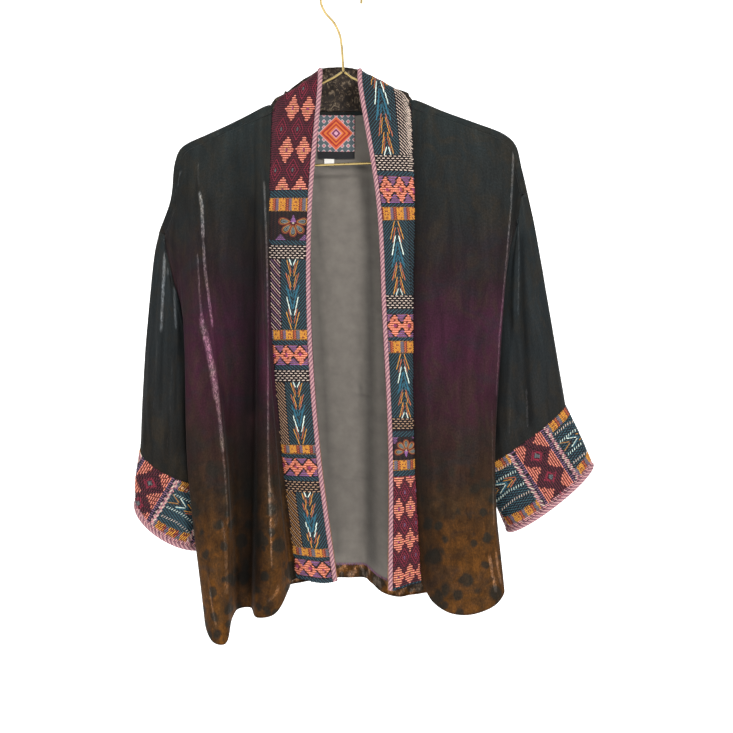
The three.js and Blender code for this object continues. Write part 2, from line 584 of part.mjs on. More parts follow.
// Sleeve: a flattened tube whose first ring follows the armhole.
const RING_HALF = ROLL_ROWS / 2 + UNDERARM_ROW - LEVEL_FACETS[0];
function ringPoint(section, k) {
  const angle = (Math.PI * k) / RING_HALF;
  const outward = (1 + Math.cos(angle)) / 2;
  const [x, z] = [0, 1].map((c) => section.inner[c] + (section.outer[c] - section.inner[c]) * outward);
  const face = Math.sin(angle);
  const ripple = 1 + (section.folds / section.depth) * Math.cos(SLEEVE_WAVES * 2 * angle);
  return v(x, section.middle - section.depth * face * ripple, z - section.sag * Math.abs(face));
}
function armhole(side, panel, backPanel) {
  const line = side === "right" ? 0 : backPanel.grid.length - 1;
  const inward = side === "right" ? 1 : -1;
  const backEdge = backPanel.grid[line];
  const backNormals = backPanel.normals[line];
  const behindBack = backPanel.grid[line + inward];
  const onFront = acrossSeam(panel.edge, panel.behindEdge, panel.edgeNormals);
  const onBack = acrossSeam(backEdge, behindBack, backNormals);
  const ridgeRow = ROLL_ROWS / 2;
  const points = [];
  const normals = [];
  const take = (list, listNormals, from, to) => {
    const step = Math.sign(to - from);
    for (let k = from; k !== to + step; k += step) {
      points.push(list[k]);
      normals.push(listNormals[k].clone());
    }
  };
  take(onBack, backNormals, ridgeRow, 1);
  take(onFront, panel.edgeNormals, LEVEL_FACETS[0], UNDERARM_ROW);
  take(onBack, backNormals, BACK_OFFSET + UNDERARM_ROW - 1, ridgeRow + 1);
  return { points, normals };
}
function sleeve(side, panel, backPanel) {
  const ring = armhole(side, panel, backPanel);
  const params = steps(SLEEVE_FACETS);
  const grid = ring.points.map((point, k) =>
    along([point, ...SLEEVE_SECTIONS[side].map((section) => ringPoint(section, k))], params),
  );
  const facing = -facingOf[side];
  const normals = normalsOf(grid, facing, true);
  grid.forEach((_, k) => (normals[k][0] = ring.normals[k]));
  add("sleeve_" + side, shell(grid, normals, () => VELVET_WALL, facing, true), "velvet", 0.8);
  return { grid, normals };
}

// Cuff: an embroidered tube that goes on from the sleeve's end.
function cuff(side, tube) {
  const facing = -facingOf[side];
  const seamLine = tube.grid.map((line) => last(line));
  const behind = tube.grid.map((line) => line.at(-2));
  const seamNormals = tube.normals.map((line) => last(line));
  const start = acrossSeam(seamLine, behind, seamNormals, 2 * SEAM_GAP, true);
  const sections = [last(SLEEVE_SECTIONS[side]), ...CUFF_SECTIONS[side]];
  const grid = start.map((point, k) => {
    const rail = sections.map((section) => ringPoint(section, k));
    rail[0] = point;
    return along(rail, steps(CUFF_FACETS));
  });
  const normals = normalsOf(grid, facing, true);
  grid.forEach((_, k) => (normals[k][0] = seamNormals[k].clone()));
  add("cuff_" + side, shell(grid, normals, () => BAND_WALL, facing, true), "embroidery", 0.9);
  return { grid, normals };
}

// Centreline of a braid that lies against an edge of thick cloth.
function braidLine(edge, behind, normals, closed) {
  const line = acrossSeam(edge, behind, normals, 4 * SEAM_GAP + BRAID_RADIUS, closed);
  return line.map((point, k) => point.addScaledVector(normals[k], -BAND_WALL / 2));
}
function roundBar(points, radius, sides, facets) {
  const disc = new THREE.Shape();
  disc.absarc(0, 0, radius, 0, 2 * Math.PI);
  const extrudePath = new THREE.CatmullRomCurve3(points, false, "centripetal");
  return new THREE.ExtrudeGeometry(disc, { steps: facets, curveSegments: sides / 2, extrudePath });
}
function braids(bands, cuffs) {
  for (const side of SIDES) {
    const { grid, normals } = bands[side];
    const free = braidLine(grid[0], grid[1], normals[0], false);
    add("braid_" + side, roundBar(free.slice(1), BRAID_RADIUS, 8, BRAID_STEPS), "braid", 0.8);
    const tube = cuffs[side];
    const rim = braidLine(
      tube.grid.map((line) => last(line)),
      tube.grid.map((line) => line.at(-2)),
      tube.normals.map((line) => last(line)),
      true,
    );
    const loop = new THREE.CatmullRomCurve3(rim, true, "centripetal");
    const ringBraid = new THREE.TubeGeometry(loop, BRAID_STEPS, BRAID_RADIUS, 8, true);
    add("cuff_braid_" + side, ringBraid, "braid", 0.8);
  }
}

function hanger() {
  const flat = (list) => list.map((p) => v(p.x, 0, p.z));
  add("hanger_frame", roundBar(flat(FRAME_WIRE), WIRE_RADIUS, 8, WIRE_STEPS), "brass", 0.35, 1);
  const arc = [];
  for (let angle = HOOK_ARC.from; angle >= HOOK_ARC.to; angle -= HOOK_ARC.step) {
    const turn = radians(angle);
    arc.push(v(HOOK_RADIUS * Math.cos(turn), 0, HOOK_CENTRE_Z + HOOK_RADIUS * Math.sin(turn)));
  }
  add("hanger_hook", roundBar([...flat(STEM), ...arc], WIRE_RADIUS, 8, 44), "brass", 0.35, 1);
}

const fronts = {};
for (const side of SIDES) fronts[side] = front(side);
const backPanel = back(fronts);
for (const side of SIDES) addFront(side, fronts[side], backPanel);
lining(backPanel);
sewnPatch("neck_label", backPanel, LABEL, LABEL.top);
sewnPatch("size_tab", backPanel, TAB, LABEL.top - LABEL.height - SEAM_GAP);
const bands = {};
const cuffs = {};
for (const side of SIDES) {
  bands[side] = band(side, fronts[side], backPanel);
  cuffs[side] = cuff(side, sleeve(side, fronts[side], backPanel));
}
neckBand(backPanel, bands);
braids(bands, cuffs);
hanger();

export default group;
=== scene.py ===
import math

import bpy
import numpy as np
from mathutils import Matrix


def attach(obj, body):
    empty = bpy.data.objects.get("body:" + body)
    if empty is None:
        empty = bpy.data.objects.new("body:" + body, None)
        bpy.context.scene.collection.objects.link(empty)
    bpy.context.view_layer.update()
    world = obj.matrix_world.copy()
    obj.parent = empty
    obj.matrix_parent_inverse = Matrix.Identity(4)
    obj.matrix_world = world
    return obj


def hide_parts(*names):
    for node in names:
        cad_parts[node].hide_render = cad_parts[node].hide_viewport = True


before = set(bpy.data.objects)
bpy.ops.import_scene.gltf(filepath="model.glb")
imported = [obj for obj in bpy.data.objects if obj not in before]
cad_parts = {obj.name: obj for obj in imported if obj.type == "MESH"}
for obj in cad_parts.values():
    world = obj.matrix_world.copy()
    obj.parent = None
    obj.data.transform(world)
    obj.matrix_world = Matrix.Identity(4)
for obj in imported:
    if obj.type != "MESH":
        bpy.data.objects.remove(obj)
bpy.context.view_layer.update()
scene = bpy.context.scene
rng = np.random.default_rng(7)

SIDES = ("right", "left")
FACING = {"right": 1, "left": -1}
VELVET_WALL = 2.0
BAND_WALL = 2.4  # cloth under the stitches
HEM_TURN = 20
ROLL_DEPTH, ROLL_HEIGHT = 8, 14
SEAM_ANGLE, ALLOWANCE = 75, 8

# Photo pixels: the camera stands at VIEW and sees PIXEL mm in each pixel at Y = 0.
VIEW = (33.0, -1700.0, -501.5)
PIXEL = 1.3
PHOTO_SIZE, SENSOR = 733, 36

# x and z of the wire's upper side
WIRE = [
    (-150, -193.6), (-91, -165.6), (-30, -135.8), (-7, -124.6), (1, -119), (4.6, -119), (12, -125),
    (30, -133), (92, -159), (150, -180.6), (199, -199.5),
]

RIDGE = {
    "right": [(-91, -160.4), (-150, -188.6), (-192, -208.8), (-207, -216.5), (-214, -226),
              (-217.5, -246), (-222, -285), (-230, -309), (-236.5, -326)],
    "left": [(92, -153.7), (150, -176), (203, -195.5), (219, -203), (226, -211), (229, -221),
             (232.5, -234), (237.5, -254), (242.5, -276)],
}

# share on the ridge, then points at chest, waist, hip and hem
FRONT_RAILS = {
    "right": [
        (0.012, (-92, -16, -286), (-89, -24, -440), (-76, -26, -606), (-57, -22, -773)),
        (0.03, (-95.5, -17.5, -287), (-92.5, -25, -441), (-80.5, -25.5, -607), (-62, -19, -776)),
        (0.05, (-99, -21, -289), (-94.5, -33, -443), (-82, -37, -610), (-66, -33, -786)),
        (0.075, (-103, -24, -290), (-98, -40, -445), (-88, -50, -613), (-82, -58, -812)),
        (0.1, (-108, -22, -291), (-105, -35, -446), (-103, -40, -615), (-106, -50, -818)),
        (0.13, (-113, -19, -292), (-112, -22, -447), (-115, -22, -615), (-116, -24, -810)),
        (0.2, (-133, -21, -293), (-133, -26, -448), (-132, -24, -615), (-130, -22, -812)),
        (0.3, (-158, -25, -297), (-149, -34, -454), (-141, -37, -619), (-137, -43, -820)),
        (0.38, (-177, -28, -302), (-165, -43, -461), (-148, -53, -624), (-143, -63, -848)),
        (0.46, (-193, -24, -308), (-184, -39, -467), (-170, -49, -629), (-159, -59, -848)),
        (0.55, (-208, -13, -318), (-200, -28, -474), (-195, -32, -634), (-173, -37, -822)),
        (0.8, (-218, -9, -338), (-196, -14, -486), (-179, -13, -637), (-161, -14, -805)),
        (1.0, (-226, -7, -359), (-182, 0, -505), (-156, -2, -640), (-147, 0, -791)),
    ],
    "left": [
        (0.012, (95, -16, -286), (93, -24, -440), (94, -28, -606), (103, -26, -778)),
        (0.04, (99, -20, -287), (97, -28, -442), (98, -32, -609), (108, -32, -787)),
        (0.1, (112, -24, -289), (110, -31, -446), (111, -34, -613), (118, -41, -801)),
        (0.19, (135, -27, -292), (134, -34, -450), (134, -38, -617), (137, -50, -812)),
        (0.32, (160, -27, -296), (160, -34, -455), (160, -38, -621), (161, -54, -814)),
        (0.45, (189, -24, -301), (183, -32, -462), (180, -37, -626), (185, -52, -808)),
        (0.56, (207, -20, -306), (196, -30, -469), (190, -36, -631), (200, -48, -799)),
        (0.7, (217, -13, -312), (204, -24, -476), (196, -28, -636), (209, -36, -786)),
        (0.86, (222, -9, -318), (195, -12, -472), (183, -12, -638), (195, -13, -783)),
        (1.0, (226, -6, -325), (178, 0, -466), (165, -2, -640), (173, 0, -782)),
    ],
}

# side with its share on the ridge, or the place on the neck seam; free edge of the neck band;
# chest, waist, hip, hem
BACK_RAILS = [
    ("right", 0.82, None, (-215, 9, -340), (-181, 13, -490), (-153, 18, -637), (-146, 18, -798)),
    ("right", 0.62, None, (-206, 14, -325), (-173, 24, -479), (-145, 30, -634), (-137, 33, -805)),
    ("right", 0.53, None, (-192, 17, -313), (-161, 27, -469), (-135, 33, -630), (-127, 36, -806)),
    ("right", 0.36, None, (-167, 19, -302), (-142, 26, -458), (-120, 30, -625), (-113, 31, -803)),
    ("right", 0.18, None, (-130, 22, -294), (-112, 25, -450), (-96, 26, -620), (-92, 24, -796)),
    ("right", 0.012, "joint", (-99, 25, -288), (-84, 33, -444), (-71, 38, -614), (-67, 41, -790)),
    ("right", 0, (-30, 8, -115.5), (-87, 26, -287), (-72, 34, -443), (-60, 38, -613), (-55, 41, -788)),
    ((-79, 10, -160.5), 0, (-29, 15, -111.5), (-72, 27, -286), (-58, 34, -442), (-47, 37, -611),
     (-42, 39, -785)),
    ((-60, 19, -163.5), 0, (-26, 23, -108.5), (-48, 27, -285), (-33, 32, -441), (-23, 35, -609),
     (-19, 38, -781)),
    ((-32, 25, -165.5), 0, (-18.5, 31, -106.5), (-22, 28, -285), (-7, 33, -441), (5, 37, -609),
     (9, 40, -781)),
    ((0, 27, -166), 0, (0, 34, -105.5), (4, 29, -285), (18, 36, -441), (27, 40, -610), (33, 42, -782)),
    ((24, 26, -165), 0, (11, 33, -106.5), (26, 28, -285), (35, 32, -442), (41, 33, -612),
     (44, 33, -789)),
    ((44, 23, -163), 0, (19, 30, -108), (46, 26, -285), (50, 26, -443), (53, 25, -614),
     (55, 23, -798)),
    ((65, 17, -160), 0, (25, 22, -110.5), (66, 24, -286), (70, 27, -445), (73, 26, -616),
     (75, 24, -804)),
    ((80, 9, -155.5), 0, (27, 15, -113.5), (82, 25, -287), (85, 32, -446), (87, 34, -618),
     (90, 33, -803)),
    ("left", 0, (27.5, 8, -116.5), (94, 26, -288), (96, 34, -447), (98, 36, -619), (102, 36, -802)),
    ("left", 0.012, "joint", (105, 26, -289), (107, 33, -449), (108, 35, -620), (113, 34, -800)),
    ("left", 0.2, None, (134, 24, -293), (126, 29, -453), (124, 30, -623), (130, 30, -798)),
    ("left", 0.4, None, (167, 20, -299), (147, 26, -458), (141, 28, -628), (148, 28, -796)),
    ("left", 0.6, None, (197, 16, -307), (163, 24, -463), (154, 27, -633), (162, 28, -791)),
    ("left", 0.7, None, (209, 12, -312), (170, 20, -466), (159, 24, -635), (168, 25, -789)),
    ("left", 0.84, None, (218, 9, -319), (175, 13, -468), (163, 17, -637), (172, 17, -786)),
]
ARMHOLE_BACK = {"right": (-226, 7, -357), "left": (226, 7, -323)}

# x over the wire, rise over the wire, chest, waist, hip, hem; free edge first
BAND_RAILS = {
    "right": [
        (-30, 19, (-42.5, -20, -286), (-43.5, -30, -440), (-32, -34, -607), (-10, -32, -776)),
        (-46, 13, (-55, -21, -286), (-55, -31, -440), (-43, -35, -607), (-22, -33, -777)),
        (-66, 9.4, (-76, -20, -286), (-73, -29, -440), (-60, -32, -607), (-41, -30, -775)),
        (-80, 7.4, (-86, -18, -286), (-83, -26, -440), (-70, -29, -607), (-51, -26, -774)),
    ],
    "left": [
        (27.5, 15, (51, -20, -286), (59, -30, -440), (66.5, -35, -607), (66.5, -37, -786)),
        (45, 11.5, (63.5, -21, -286), (68.5, -31, -440), (75.5, -36, -607), (77.5, -37, -784)),
        (66, 9.4, (80, -20, -286), (80.5, -29, -440), (84.5, -33, -607), (90, -32, -780)),
        (81, 7.4, (89, -18, -286), (88, -27, -440), (90, -31, -607), (98, -29, -779)),
    ],
}
BAND_ROLL_ANGLES = (-35, 30, 95)

# x and z of the outer and of the inner edge, depth of the middle, half depth, sag, height of the folds
SLEEVE_SECTIONS = {
    "right": [
        ((-243, -350), (-182, -525), 6, 14, 0, 2),
        ((-250, -415), (-180, -560), 8, 22, 0, 3),
        ((-258, -513), (-177, -606), 10, 28, 6, 2),
        ((-263, -609), (-176, -650), 10, 28, 14, 0),
    ],
    "left": [
        ((252, -318), (178, -486), 7, 13, 0, 2),
        ((264, -382), (176, -527), 9, 20, 0, 3),
        ((281, -480), (174, -585), 8, 27, 4, 2),
        ((293, -552), (182, -633), 8, 26, 6, 0),
    ],
}
CUFF_SECTIONS = {
    "right": [
        ((-268, -642), (-173, -688), 10, 29, 20, 0),
        ((-269, -676), (-170, -724), 10, 30, 24, 0),
    ],
    "left": [
        ((311, -589), (198, -672), 8, 27, 9, 0),
        ((327, -626), (215, -711), 8, 28, 10, 0),
    ],
}
RING_HALF = 8  # steps of a ring from the outer edge to the underarm
SLEEVE_WAVES = 3

# Lines of the folds in pixels of the photograph: points, height in mm, width in pixels.
CREASES = {
    "right": [
        ([(192, 158), (197, 173), (201, 198), (202, 227), (205, 260), (211, 320), (217, 383), (222, 443),
          (225, 467), (229, 542)], 2.6, 2.4),
        ([(207, 562), (213, 587), (218, 630)], 2.2, 2.0),
        ([(182, 172), (178, 190), (180, 240)], 1.6, 2.6),
        ([(222, 150), (226, 200), (230, 300)], 1.0, 5),
        ([(240, 140), (240, 220), (243, 330)], 1.2, 4),
        ([(188, 300), (194, 400), (200, 480)], 1.6, 3.5),
    ],
    "left": [
        ([(514, 142), (511, 207), (506, 265), (499, 350), (495, 400), (493, 450), (494, 525), (498, 560)], 1.6, 2.2),
        ([(427, 447), (440, 478), (452, 508)], 1.2, 3),
        ([(432, 150), (430, 300), (434, 420)], 0.8, 5),
        ([(466, 300), (462, 420), (468, 560)], 1.4, 7),
        ([(440, 500), (446, 560), (450, 600)], 1.6, 5),
    ],
    "sleeve_right": [
        ([(165, 250), (162, 300), (160, 350), (158, 420)], 2.2, 2.4),
        ([(176, 275), (177, 343), (172, 420)], 2.4, 2.4),
        ([(150, 330), (148, 400), (150, 440)], 1.6, 3),
        ([(168, 400), (165, 440), (164, 462)], 1.8, 2.4),
    ],
    "sleeve_left": [
        ([(524, 230), (526, 300), (530, 360)], 1.8, 3),
        ([(516, 240), (514, 320), (508, 400), (508, 443)], 2.2, 2.6),
        ([(538, 260), (542, 330), (548, 400)], 1.4, 3.5),
        ([(520, 380), (518, 433)], 1.8, 2.2),
        ([(534, 390), (535, 428)], 1.4, 2.2),
    ],
}
# Painted highlights along the fold crests: points, strength or its two ends, width in pixels.
PAINTED_HIGHLIGHTS = {
    "right": [
        ([(199, 158), (198, 176), (199, 190)], 0.35, 1.6),
        ([(199, 190), (202, 207), (203, 240)], (1.2, 1.5), 1.5),
        ([(203, 240), (205, 270), (209, 300), (213, 330)], (0.9, 0.7), 1.6),
        ([(197, 250), (200, 300), (205, 345)], 0.5, 1.4),
        ([(199, 312), (207, 340), (213, 372), (217, 405)], (0.42, 0.5), 4.6),
        ([(206, 335), (215, 385), (219, 412), (223, 450)], (0.5, 0.85), 2.0),
        ([(222, 443), (226, 485), (228, 530)], (0.6, 0.3), 1.5),
        ([(221, 515), (226, 545), (227, 600)], (0.35, 0.4), 3.4),
        ([(264, 178), (267, 260), (268, 350), (268, 450), (272, 572)], (0.7, 0.5), 1.3),
        ([(183, 168), (178, 176), (177, 190)], 0.6, 1.6),
        ([(206, 147), (232, 134), (260, 121)], 0.3, 1.2),
        ([(209, 585), (212, 608), (217, 630)], 0.5, 1.3),
        ([(265, 604), (276, 594), (280, 580)], 0.4, 3.0),
        ([(268, 478), (274, 500), (277, 540)], 0.3, 6.0),
    ],
    "left": [
        ([(514, 142), (511, 207), (506, 265), (500, 330), (496, 400)], (0.7, 0.4), 1.3),
        ([(424, 440), (438, 462), (446, 480), (451, 510)], 0.22, 1.4),
        ([(432, 530), (448, 552), (452, 568)], 0.16, 1.2),
        ([(489, 552), (492, 572), (497, 596)], 0.55, 2.2),
        ([(495, 545), (498, 568), (502, 588)], 0.5, 1.8),
        ([(492, 405), (493, 480), (494, 530)], (0.3, 0.42), 1.2),
    ],
    "sleeve_right": [
        ([(165, 250), (163, 290), (161, 335)], (1.0, 0.7), 1.8),
        ([(170, 262), (167, 278)], 0.7, 1.4),
        ([(174, 283), (176, 332)], 0.6, 1.6),
        ([(158, 335), (154, 400), (152, 445)], 0.25, 3.0),
        ([(172, 350), (170, 420), (166, 460)], 0.25, 2.4),
    ],
    "sleeve_left": [
        ([(515, 216), (518, 224), (519, 250), (518, 320)], 0.36, 1.6),
        ([(526, 190), (530, 188)], 0.4, 1.2),
        ([(536, 240), (541, 320), (548, 400)], 0.2, 4.0),
        ([(526, 385), (528, 432)], 0.4, 1.8),
        ([(511, 392), (509, 440)], 0.3, 1.8),
    ],
}
# Painted shade in the folds, beside the bands and under the hanger's bar: points, strength or its two ends, width in
# pixels.
PAINTED_SHADE_LINES = {
    "lining": [
        ([(366, 168), (370, 240), (371, 330), (370, 430), (371, 520), (374, 572)], (0.5, 0.62), 6),
        ([(322, 168), (352, 166), (372, 169)], 0.75, 3.0),
        ([(318, 170), (318, 300), (330, 470), (338, 560)], 0.4, 4),
        ([(360, 380), (362, 397)], 0.35, 1.6), ([(340, 505), (343, 520)], 0.3, 1.6),
        ([(352, 395), (372, 396)], 0.25, 1.6), ([(345, 480), (372, 478)], 0.2, 2),
    ],
    "right": [
        ([(240, 135), (240, 220), (241, 320), (242, 430), (245, 520), (248, 600)], (0.3, 0.9), 13),
        ([(252, 190), (253, 300), (252, 420)], (0.5, 0.8), 7),
        ([(252, 420), (254, 500), (256, 598)], (0.5, 0.9), 9),
        ([(210, 190), (216, 260), (222, 330)], 0.35, 5),
        ([(236, 560), (240, 612)], 0.5, 5),
        ([(188, 420), (192, 500), (198, 560)], 0.3, 9),
    ],
    "left": [
        ([(418, 110), (416, 260), (419, 400), (424, 560), (428, 606)], (0.35, 0.85), 9),
        ([(518, 150), (512, 260), (503, 360), (498, 430)], (0.6, 0.4), 5),
        ([(440, 455), (445, 490), (449, 515)], 0.4, 5),
        ([(434, 520), (438, 560), (444, 600)], 0.4, 8),
    ],
    "sleeve_right": [([(180, 240), (183, 330), (184, 460)], (0.5, 0.7), 6), ([(148, 390), (144, 450)], 0.4, 6)],
    "sleeve_left": [
        ([(506, 250), (500, 340), (496, 450)], (0.6, 0.8), 8),
        ([(521, 230), (523, 300), (528, 380), (530, 430)], (0.6, 0.8), 4),
    ],
}


# ---- Surfaces ----
def unit(a):
    return a / np.maximum(np.linalg.norm(a, axis=-1, keepdims=True), 1e-9)


def lengths_of(line):
    """Distance from a line's start to each of its points."""
    return np.concatenate([[0], np.cumsum(np.linalg.norm(np.diff(line, axis=0), axis=1))])


def at_length(place, lengths, line):
    return np.stack([np.interp(place, lengths, line[:, c]) for c in range(3)], -1)


def steps(counts, finer=1):
    out = [0.0]
    for span, count in enumerate(counts):
        out += [span + (i + 1) / (count * finer) for i in range(count * finer)]
    return np.array(out)


def along(points, params):
    """Centripetal Catmull-Rom through points[k, track], at params counted in points."""
    points = np.asarray(points, float)
    spare = np.concatenate([[2 * points[0] - points[1]], points, [2 * points[-1] - points[-2]]])
    params = np.asarray(params, float)
    span = np.clip(params.astype(int), 0, len(points) - 2)
    w = (params - span)[:, None, None]
    p0, p1, p2, p3 = (spare[span + k] for k in range(4))
    d0, d1, d2 = (np.sum((b - a) ** 2, axis=-1, keepdims=True) ** 0.25 for a, b in ((p0, p1), (p1, p2), (p2, p3)))
    d1 = np.where(d1 < 1e-4, 1.0, d1)
    d0, d2 = (np.where(d < 1e-4, d1, d) for d in (d0, d2))
    t1 = ((p1 - p0) / d0 - (p2 - p0) / (d0 + d1) + (p2 - p1) / d1) * d1
    t2 = ((p2 - p1) / d1 - (p3 - p1) / (d1 + d2) + (p3 - p2) / d2) * d1
    return p1 + t1 * w + (-3 * p1 + 3 * p2 - 2 * t1 - t2) * w**2 + (2 * p1 - 2 * p2 + t1 + t2) * w**3


def surface(rails, down, across):
    """Grid [across, down, xyz] through rails[rail][point]."""
    lines = along(np.array(rails, float).transpose(1, 0, 2), down)
    return along(lines.transpose(1, 0, 2), across)


def normals_of(grid, facing, closed=False):
    across = np.roll(grid, -1, 0) - np.roll(grid, 1, 0) if closed else np.gradient(grid, axis=0)
    return unit(np.cross(across, np.gradient(grid, axis=1))) * facing


def ridge_line(side):
    flat = np.array([[(x, 0, z)] for x, z in RIDGE[side]], float)
    line = along(flat, np.linspace(0, len(flat) - 1, 1601))[:, 0]
    lengths = lengths_of(line)
    return lengths / lengths[-1], line


RIDGE_LINES = {side: ridge_line(side) for side in SIDES}


def roll_point(side, share, angle):
    """A point of the roll over the wire, at a share of the ridge."""
    before, point, after = (
        at_length(min(max(share + d, 0), 1), *RIDGE_LINES[side]) for d in (-1e-3, 0, 1e-3)
    )
    run = unit(after - before)
    out = np.array([run[2], 0, -run[0]]) * FACING[side]
    turn = math.radians(angle)
    point = point + out * ROLL_HEIGHT * (math.cos(turn) - 1)
    point[1] -= ROLL_DEPTH * math.sin(turn)
    return point


def shoulder_points(side, rail):
    top = roll_point(side, rail[0], SEAM_ANGLE - ALLOWANCE)
    return [top, top + (np.array(rail[1]) - top) * 0.1]


def back_rail(start, share, chest, waist, hip, hem, at_corner=False):
    head = []
    for k, angle in enumerate((75, 38, 0, -38, -75)):
        if not isinstance(start, str):
            head.append(np.array(start) + (np.array(chest) - np.array(start)) * k * 0.012)
        else:
            head.append(roll_point(start, share, -SEAM_ANGLE * k / 4 if at_corner else angle))
    return [*head, chest, waist, hip, hem]


def over_wire(x, radius, angle):
    turn = math.radians(angle)
    return np.array([x, -radius * math.sin(turn), np.interp(x, *zip(*WIRE)) + radius * math.cos(turn)])


def ring_point(section, k):
    outer, inner, middle, depth, sag, folds = section
    angle = math.pi * np.asarray(k, float) / RING_HALF
    outward = (1 + np.cos(angle)) / 2
    x, z = (inner[k] + (outer[k] - inner[k]) * outward for k in (0, 1))
    face = np.sin(angle)
    ripple = 1 + folds / depth * np.cos(SLEEVE_WAVES * 2 * angle)
    return np.stack([x, middle - depth * face * ripple, z - sag * np.abs(face)], -1)


def pixels(points):
    """Where the camera sees points, in pixels of the photograph."""
    scale = PIXEL * (points[..., 1] - VIEW[1]) / -VIEW[1]
    x = PHOTO_SIZE / 2 + (points[..., 0] - VIEW[0]) / scale
    y = PHOTO_SIZE / 2 + (VIEW[2] - points[..., 2]) / scale
    return x, y


def from_line(points, line):
    """Pixels to a line of the photograph, share along it there, and pixels to its nearer end."""
    x, y = pixels(points)
    line = np.array(line, float)
    best, level = np.full(x.shape, np.inf), np.zeros(x.shape)
    for k, (a, b) in enumerate(zip(line[:-1], line[1:])):
        ab = b - a
        t = np.clip(((x - a[0]) * ab[0] + (y - a[1]) * ab[1]) / ab.dot(ab), 0, 1)
        away = np.hypot(x - a[0] - t * ab[0], y - a[1] - t * ab[1])
        level = np.where(away < best, (k + t) / (len(line) - 1), level)
        best = np.minimum(best, away)
    return best, level, np.minimum(*(np.hypot(x - end[0], y - end[1]) for end in (line[0], line[-1])))


def creases(points, name):
    """Soft ridges of cloth along the lines of CREASES."""
    total = 0
    for line, height, width in CREASES[name]:
        away, _, ends = from_line(points, line)
        total = total + height * np.exp(-((away / width) ** 2)) * np.clip(ends / 18, 0.15, 1)
    return total


def painted(points, lines):
    """How much of each (line, amount, width) falls on points; a line may fade from a second amount."""
    total = np.zeros(points.shape[:-1])
    for line, amount, width in lines:
        first, last = amount if isinstance(amount, tuple) else (amount, amount)
        away, level, ends = from_line(points, line)
        fade = np.clip(ends / max(width * 2, 6), 0.1, 1)
        total += (first + (last - first) * level) * np.exp(-((away / width) ** 2)) * fade
    return total


def painted_light_and_shade(points, normals, name):
    """Painted highlight along the fold crests (red channel) and painted shade in the folds and cast shadows (green
    channel), on faces turned to the front.
    """
    facing_camera = np.clip(-normals[..., 1] * 3, 0, 1)
    light = painted(points, PAINTED_HIGHLIGHTS.get(name, [])) * facing_camera
    dark = np.clip(painted(points, PAINTED_SHADE_LINES.get(name, [])), 0, 1) * facing_camera
    return np.stack([light, dark, facing_camera], -1)


def waves(u, v, amount, across, down, seed):
    """Slow uneven folds: a sum of slanted waves, the same on each run."""
    own = np.random.default_rng(seed)
    total = np.zeros(u.shape)
    for _ in range(9):
        ku = 2 * math.pi / (across * own.uniform(0.6, 1.8))
        kv = 2 * math.pi / (down * own.uniform(0.6, 1.8)) * own.choice((-1, 1))
        total += np.sin(ku * u + kv * v + own.uniform(0, 6.28)) * own.uniform(0.5, 1)
    return amount * total / 3


def measured(grid):
    """Distances across and down the cloth, in mm, of each grid point."""
    def run(axis):
        size = np.linalg.norm(np.diff(grid, axis=axis), axis=-1)
        pad = np.zeros([1 if k == axis else s for k, s in enumerate(size.shape)])
        return np.concatenate([pad, np.cumsum(size, axis=axis)], axis=axis)

    u, v = run(0), run(1)
    return np.broadcast_to(u.mean(1, keepdims=True), u.shape), np.broadcast_to(v.mean(0), v.shape)


def from_sides(grid):
    """0 at a panel's two side edges, 1 from the eighth column on."""
    columns = np.arange(len(grid))
    return np.clip(np.minimum(columns, columns[::-1])[:, None] / 8, 0, 1)


def raised(grid, normals, lift):
    return grid + normals * lift[..., None]


# ---- Meshes ----
def quads(index):
    return np.stack([index[:-1, :-1], index[1:, :-1], index[1:, 1:], index[:-1, 1:]], -1).reshape(-1, 4)


def piece(name, look, slot, replaced, vertices, faces, colours=None, uv=None, layer_name="Thread"):
    """A visible piece on the body, with its material; its slot is not used; it may stand for a CAD node."""
    mesh = bpy.data.meshes.new(name)
    mesh.from_pydata((np.asarray(vertices) / 1000).tolist(), [], faces)
    if uv is not None:
        layer = mesh.uv_layers.new(name="Cloth")
        corner = np.zeros(len(mesh.loops), np.int32)
        mesh.loops.foreach_get("vertex_index", corner)
        layer.data.foreach_set("uv", (np.asarray(uv)[corner] / 1000).astype(np.float32).ravel())
    if colours is not None:
        layer = mesh.color_attributes.new(layer_name, "FLOAT_COLOR", "POINT")
        full = np.concatenate([colours, np.ones((len(colours), 1))], 1).astype(np.float32)
        layer.data.foreach_set("color", full.ravel())
    mesh.polygons.foreach_set("use_smooth", [True] * len(mesh.polygons))
    mesh.update()
    mesh.materials.append(look)
    obj = bpy.data.objects.new(name, mesh)
    scene.collection.objects.link(obj)
    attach(obj, "root")
    if replaced:
        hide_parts(replaced)


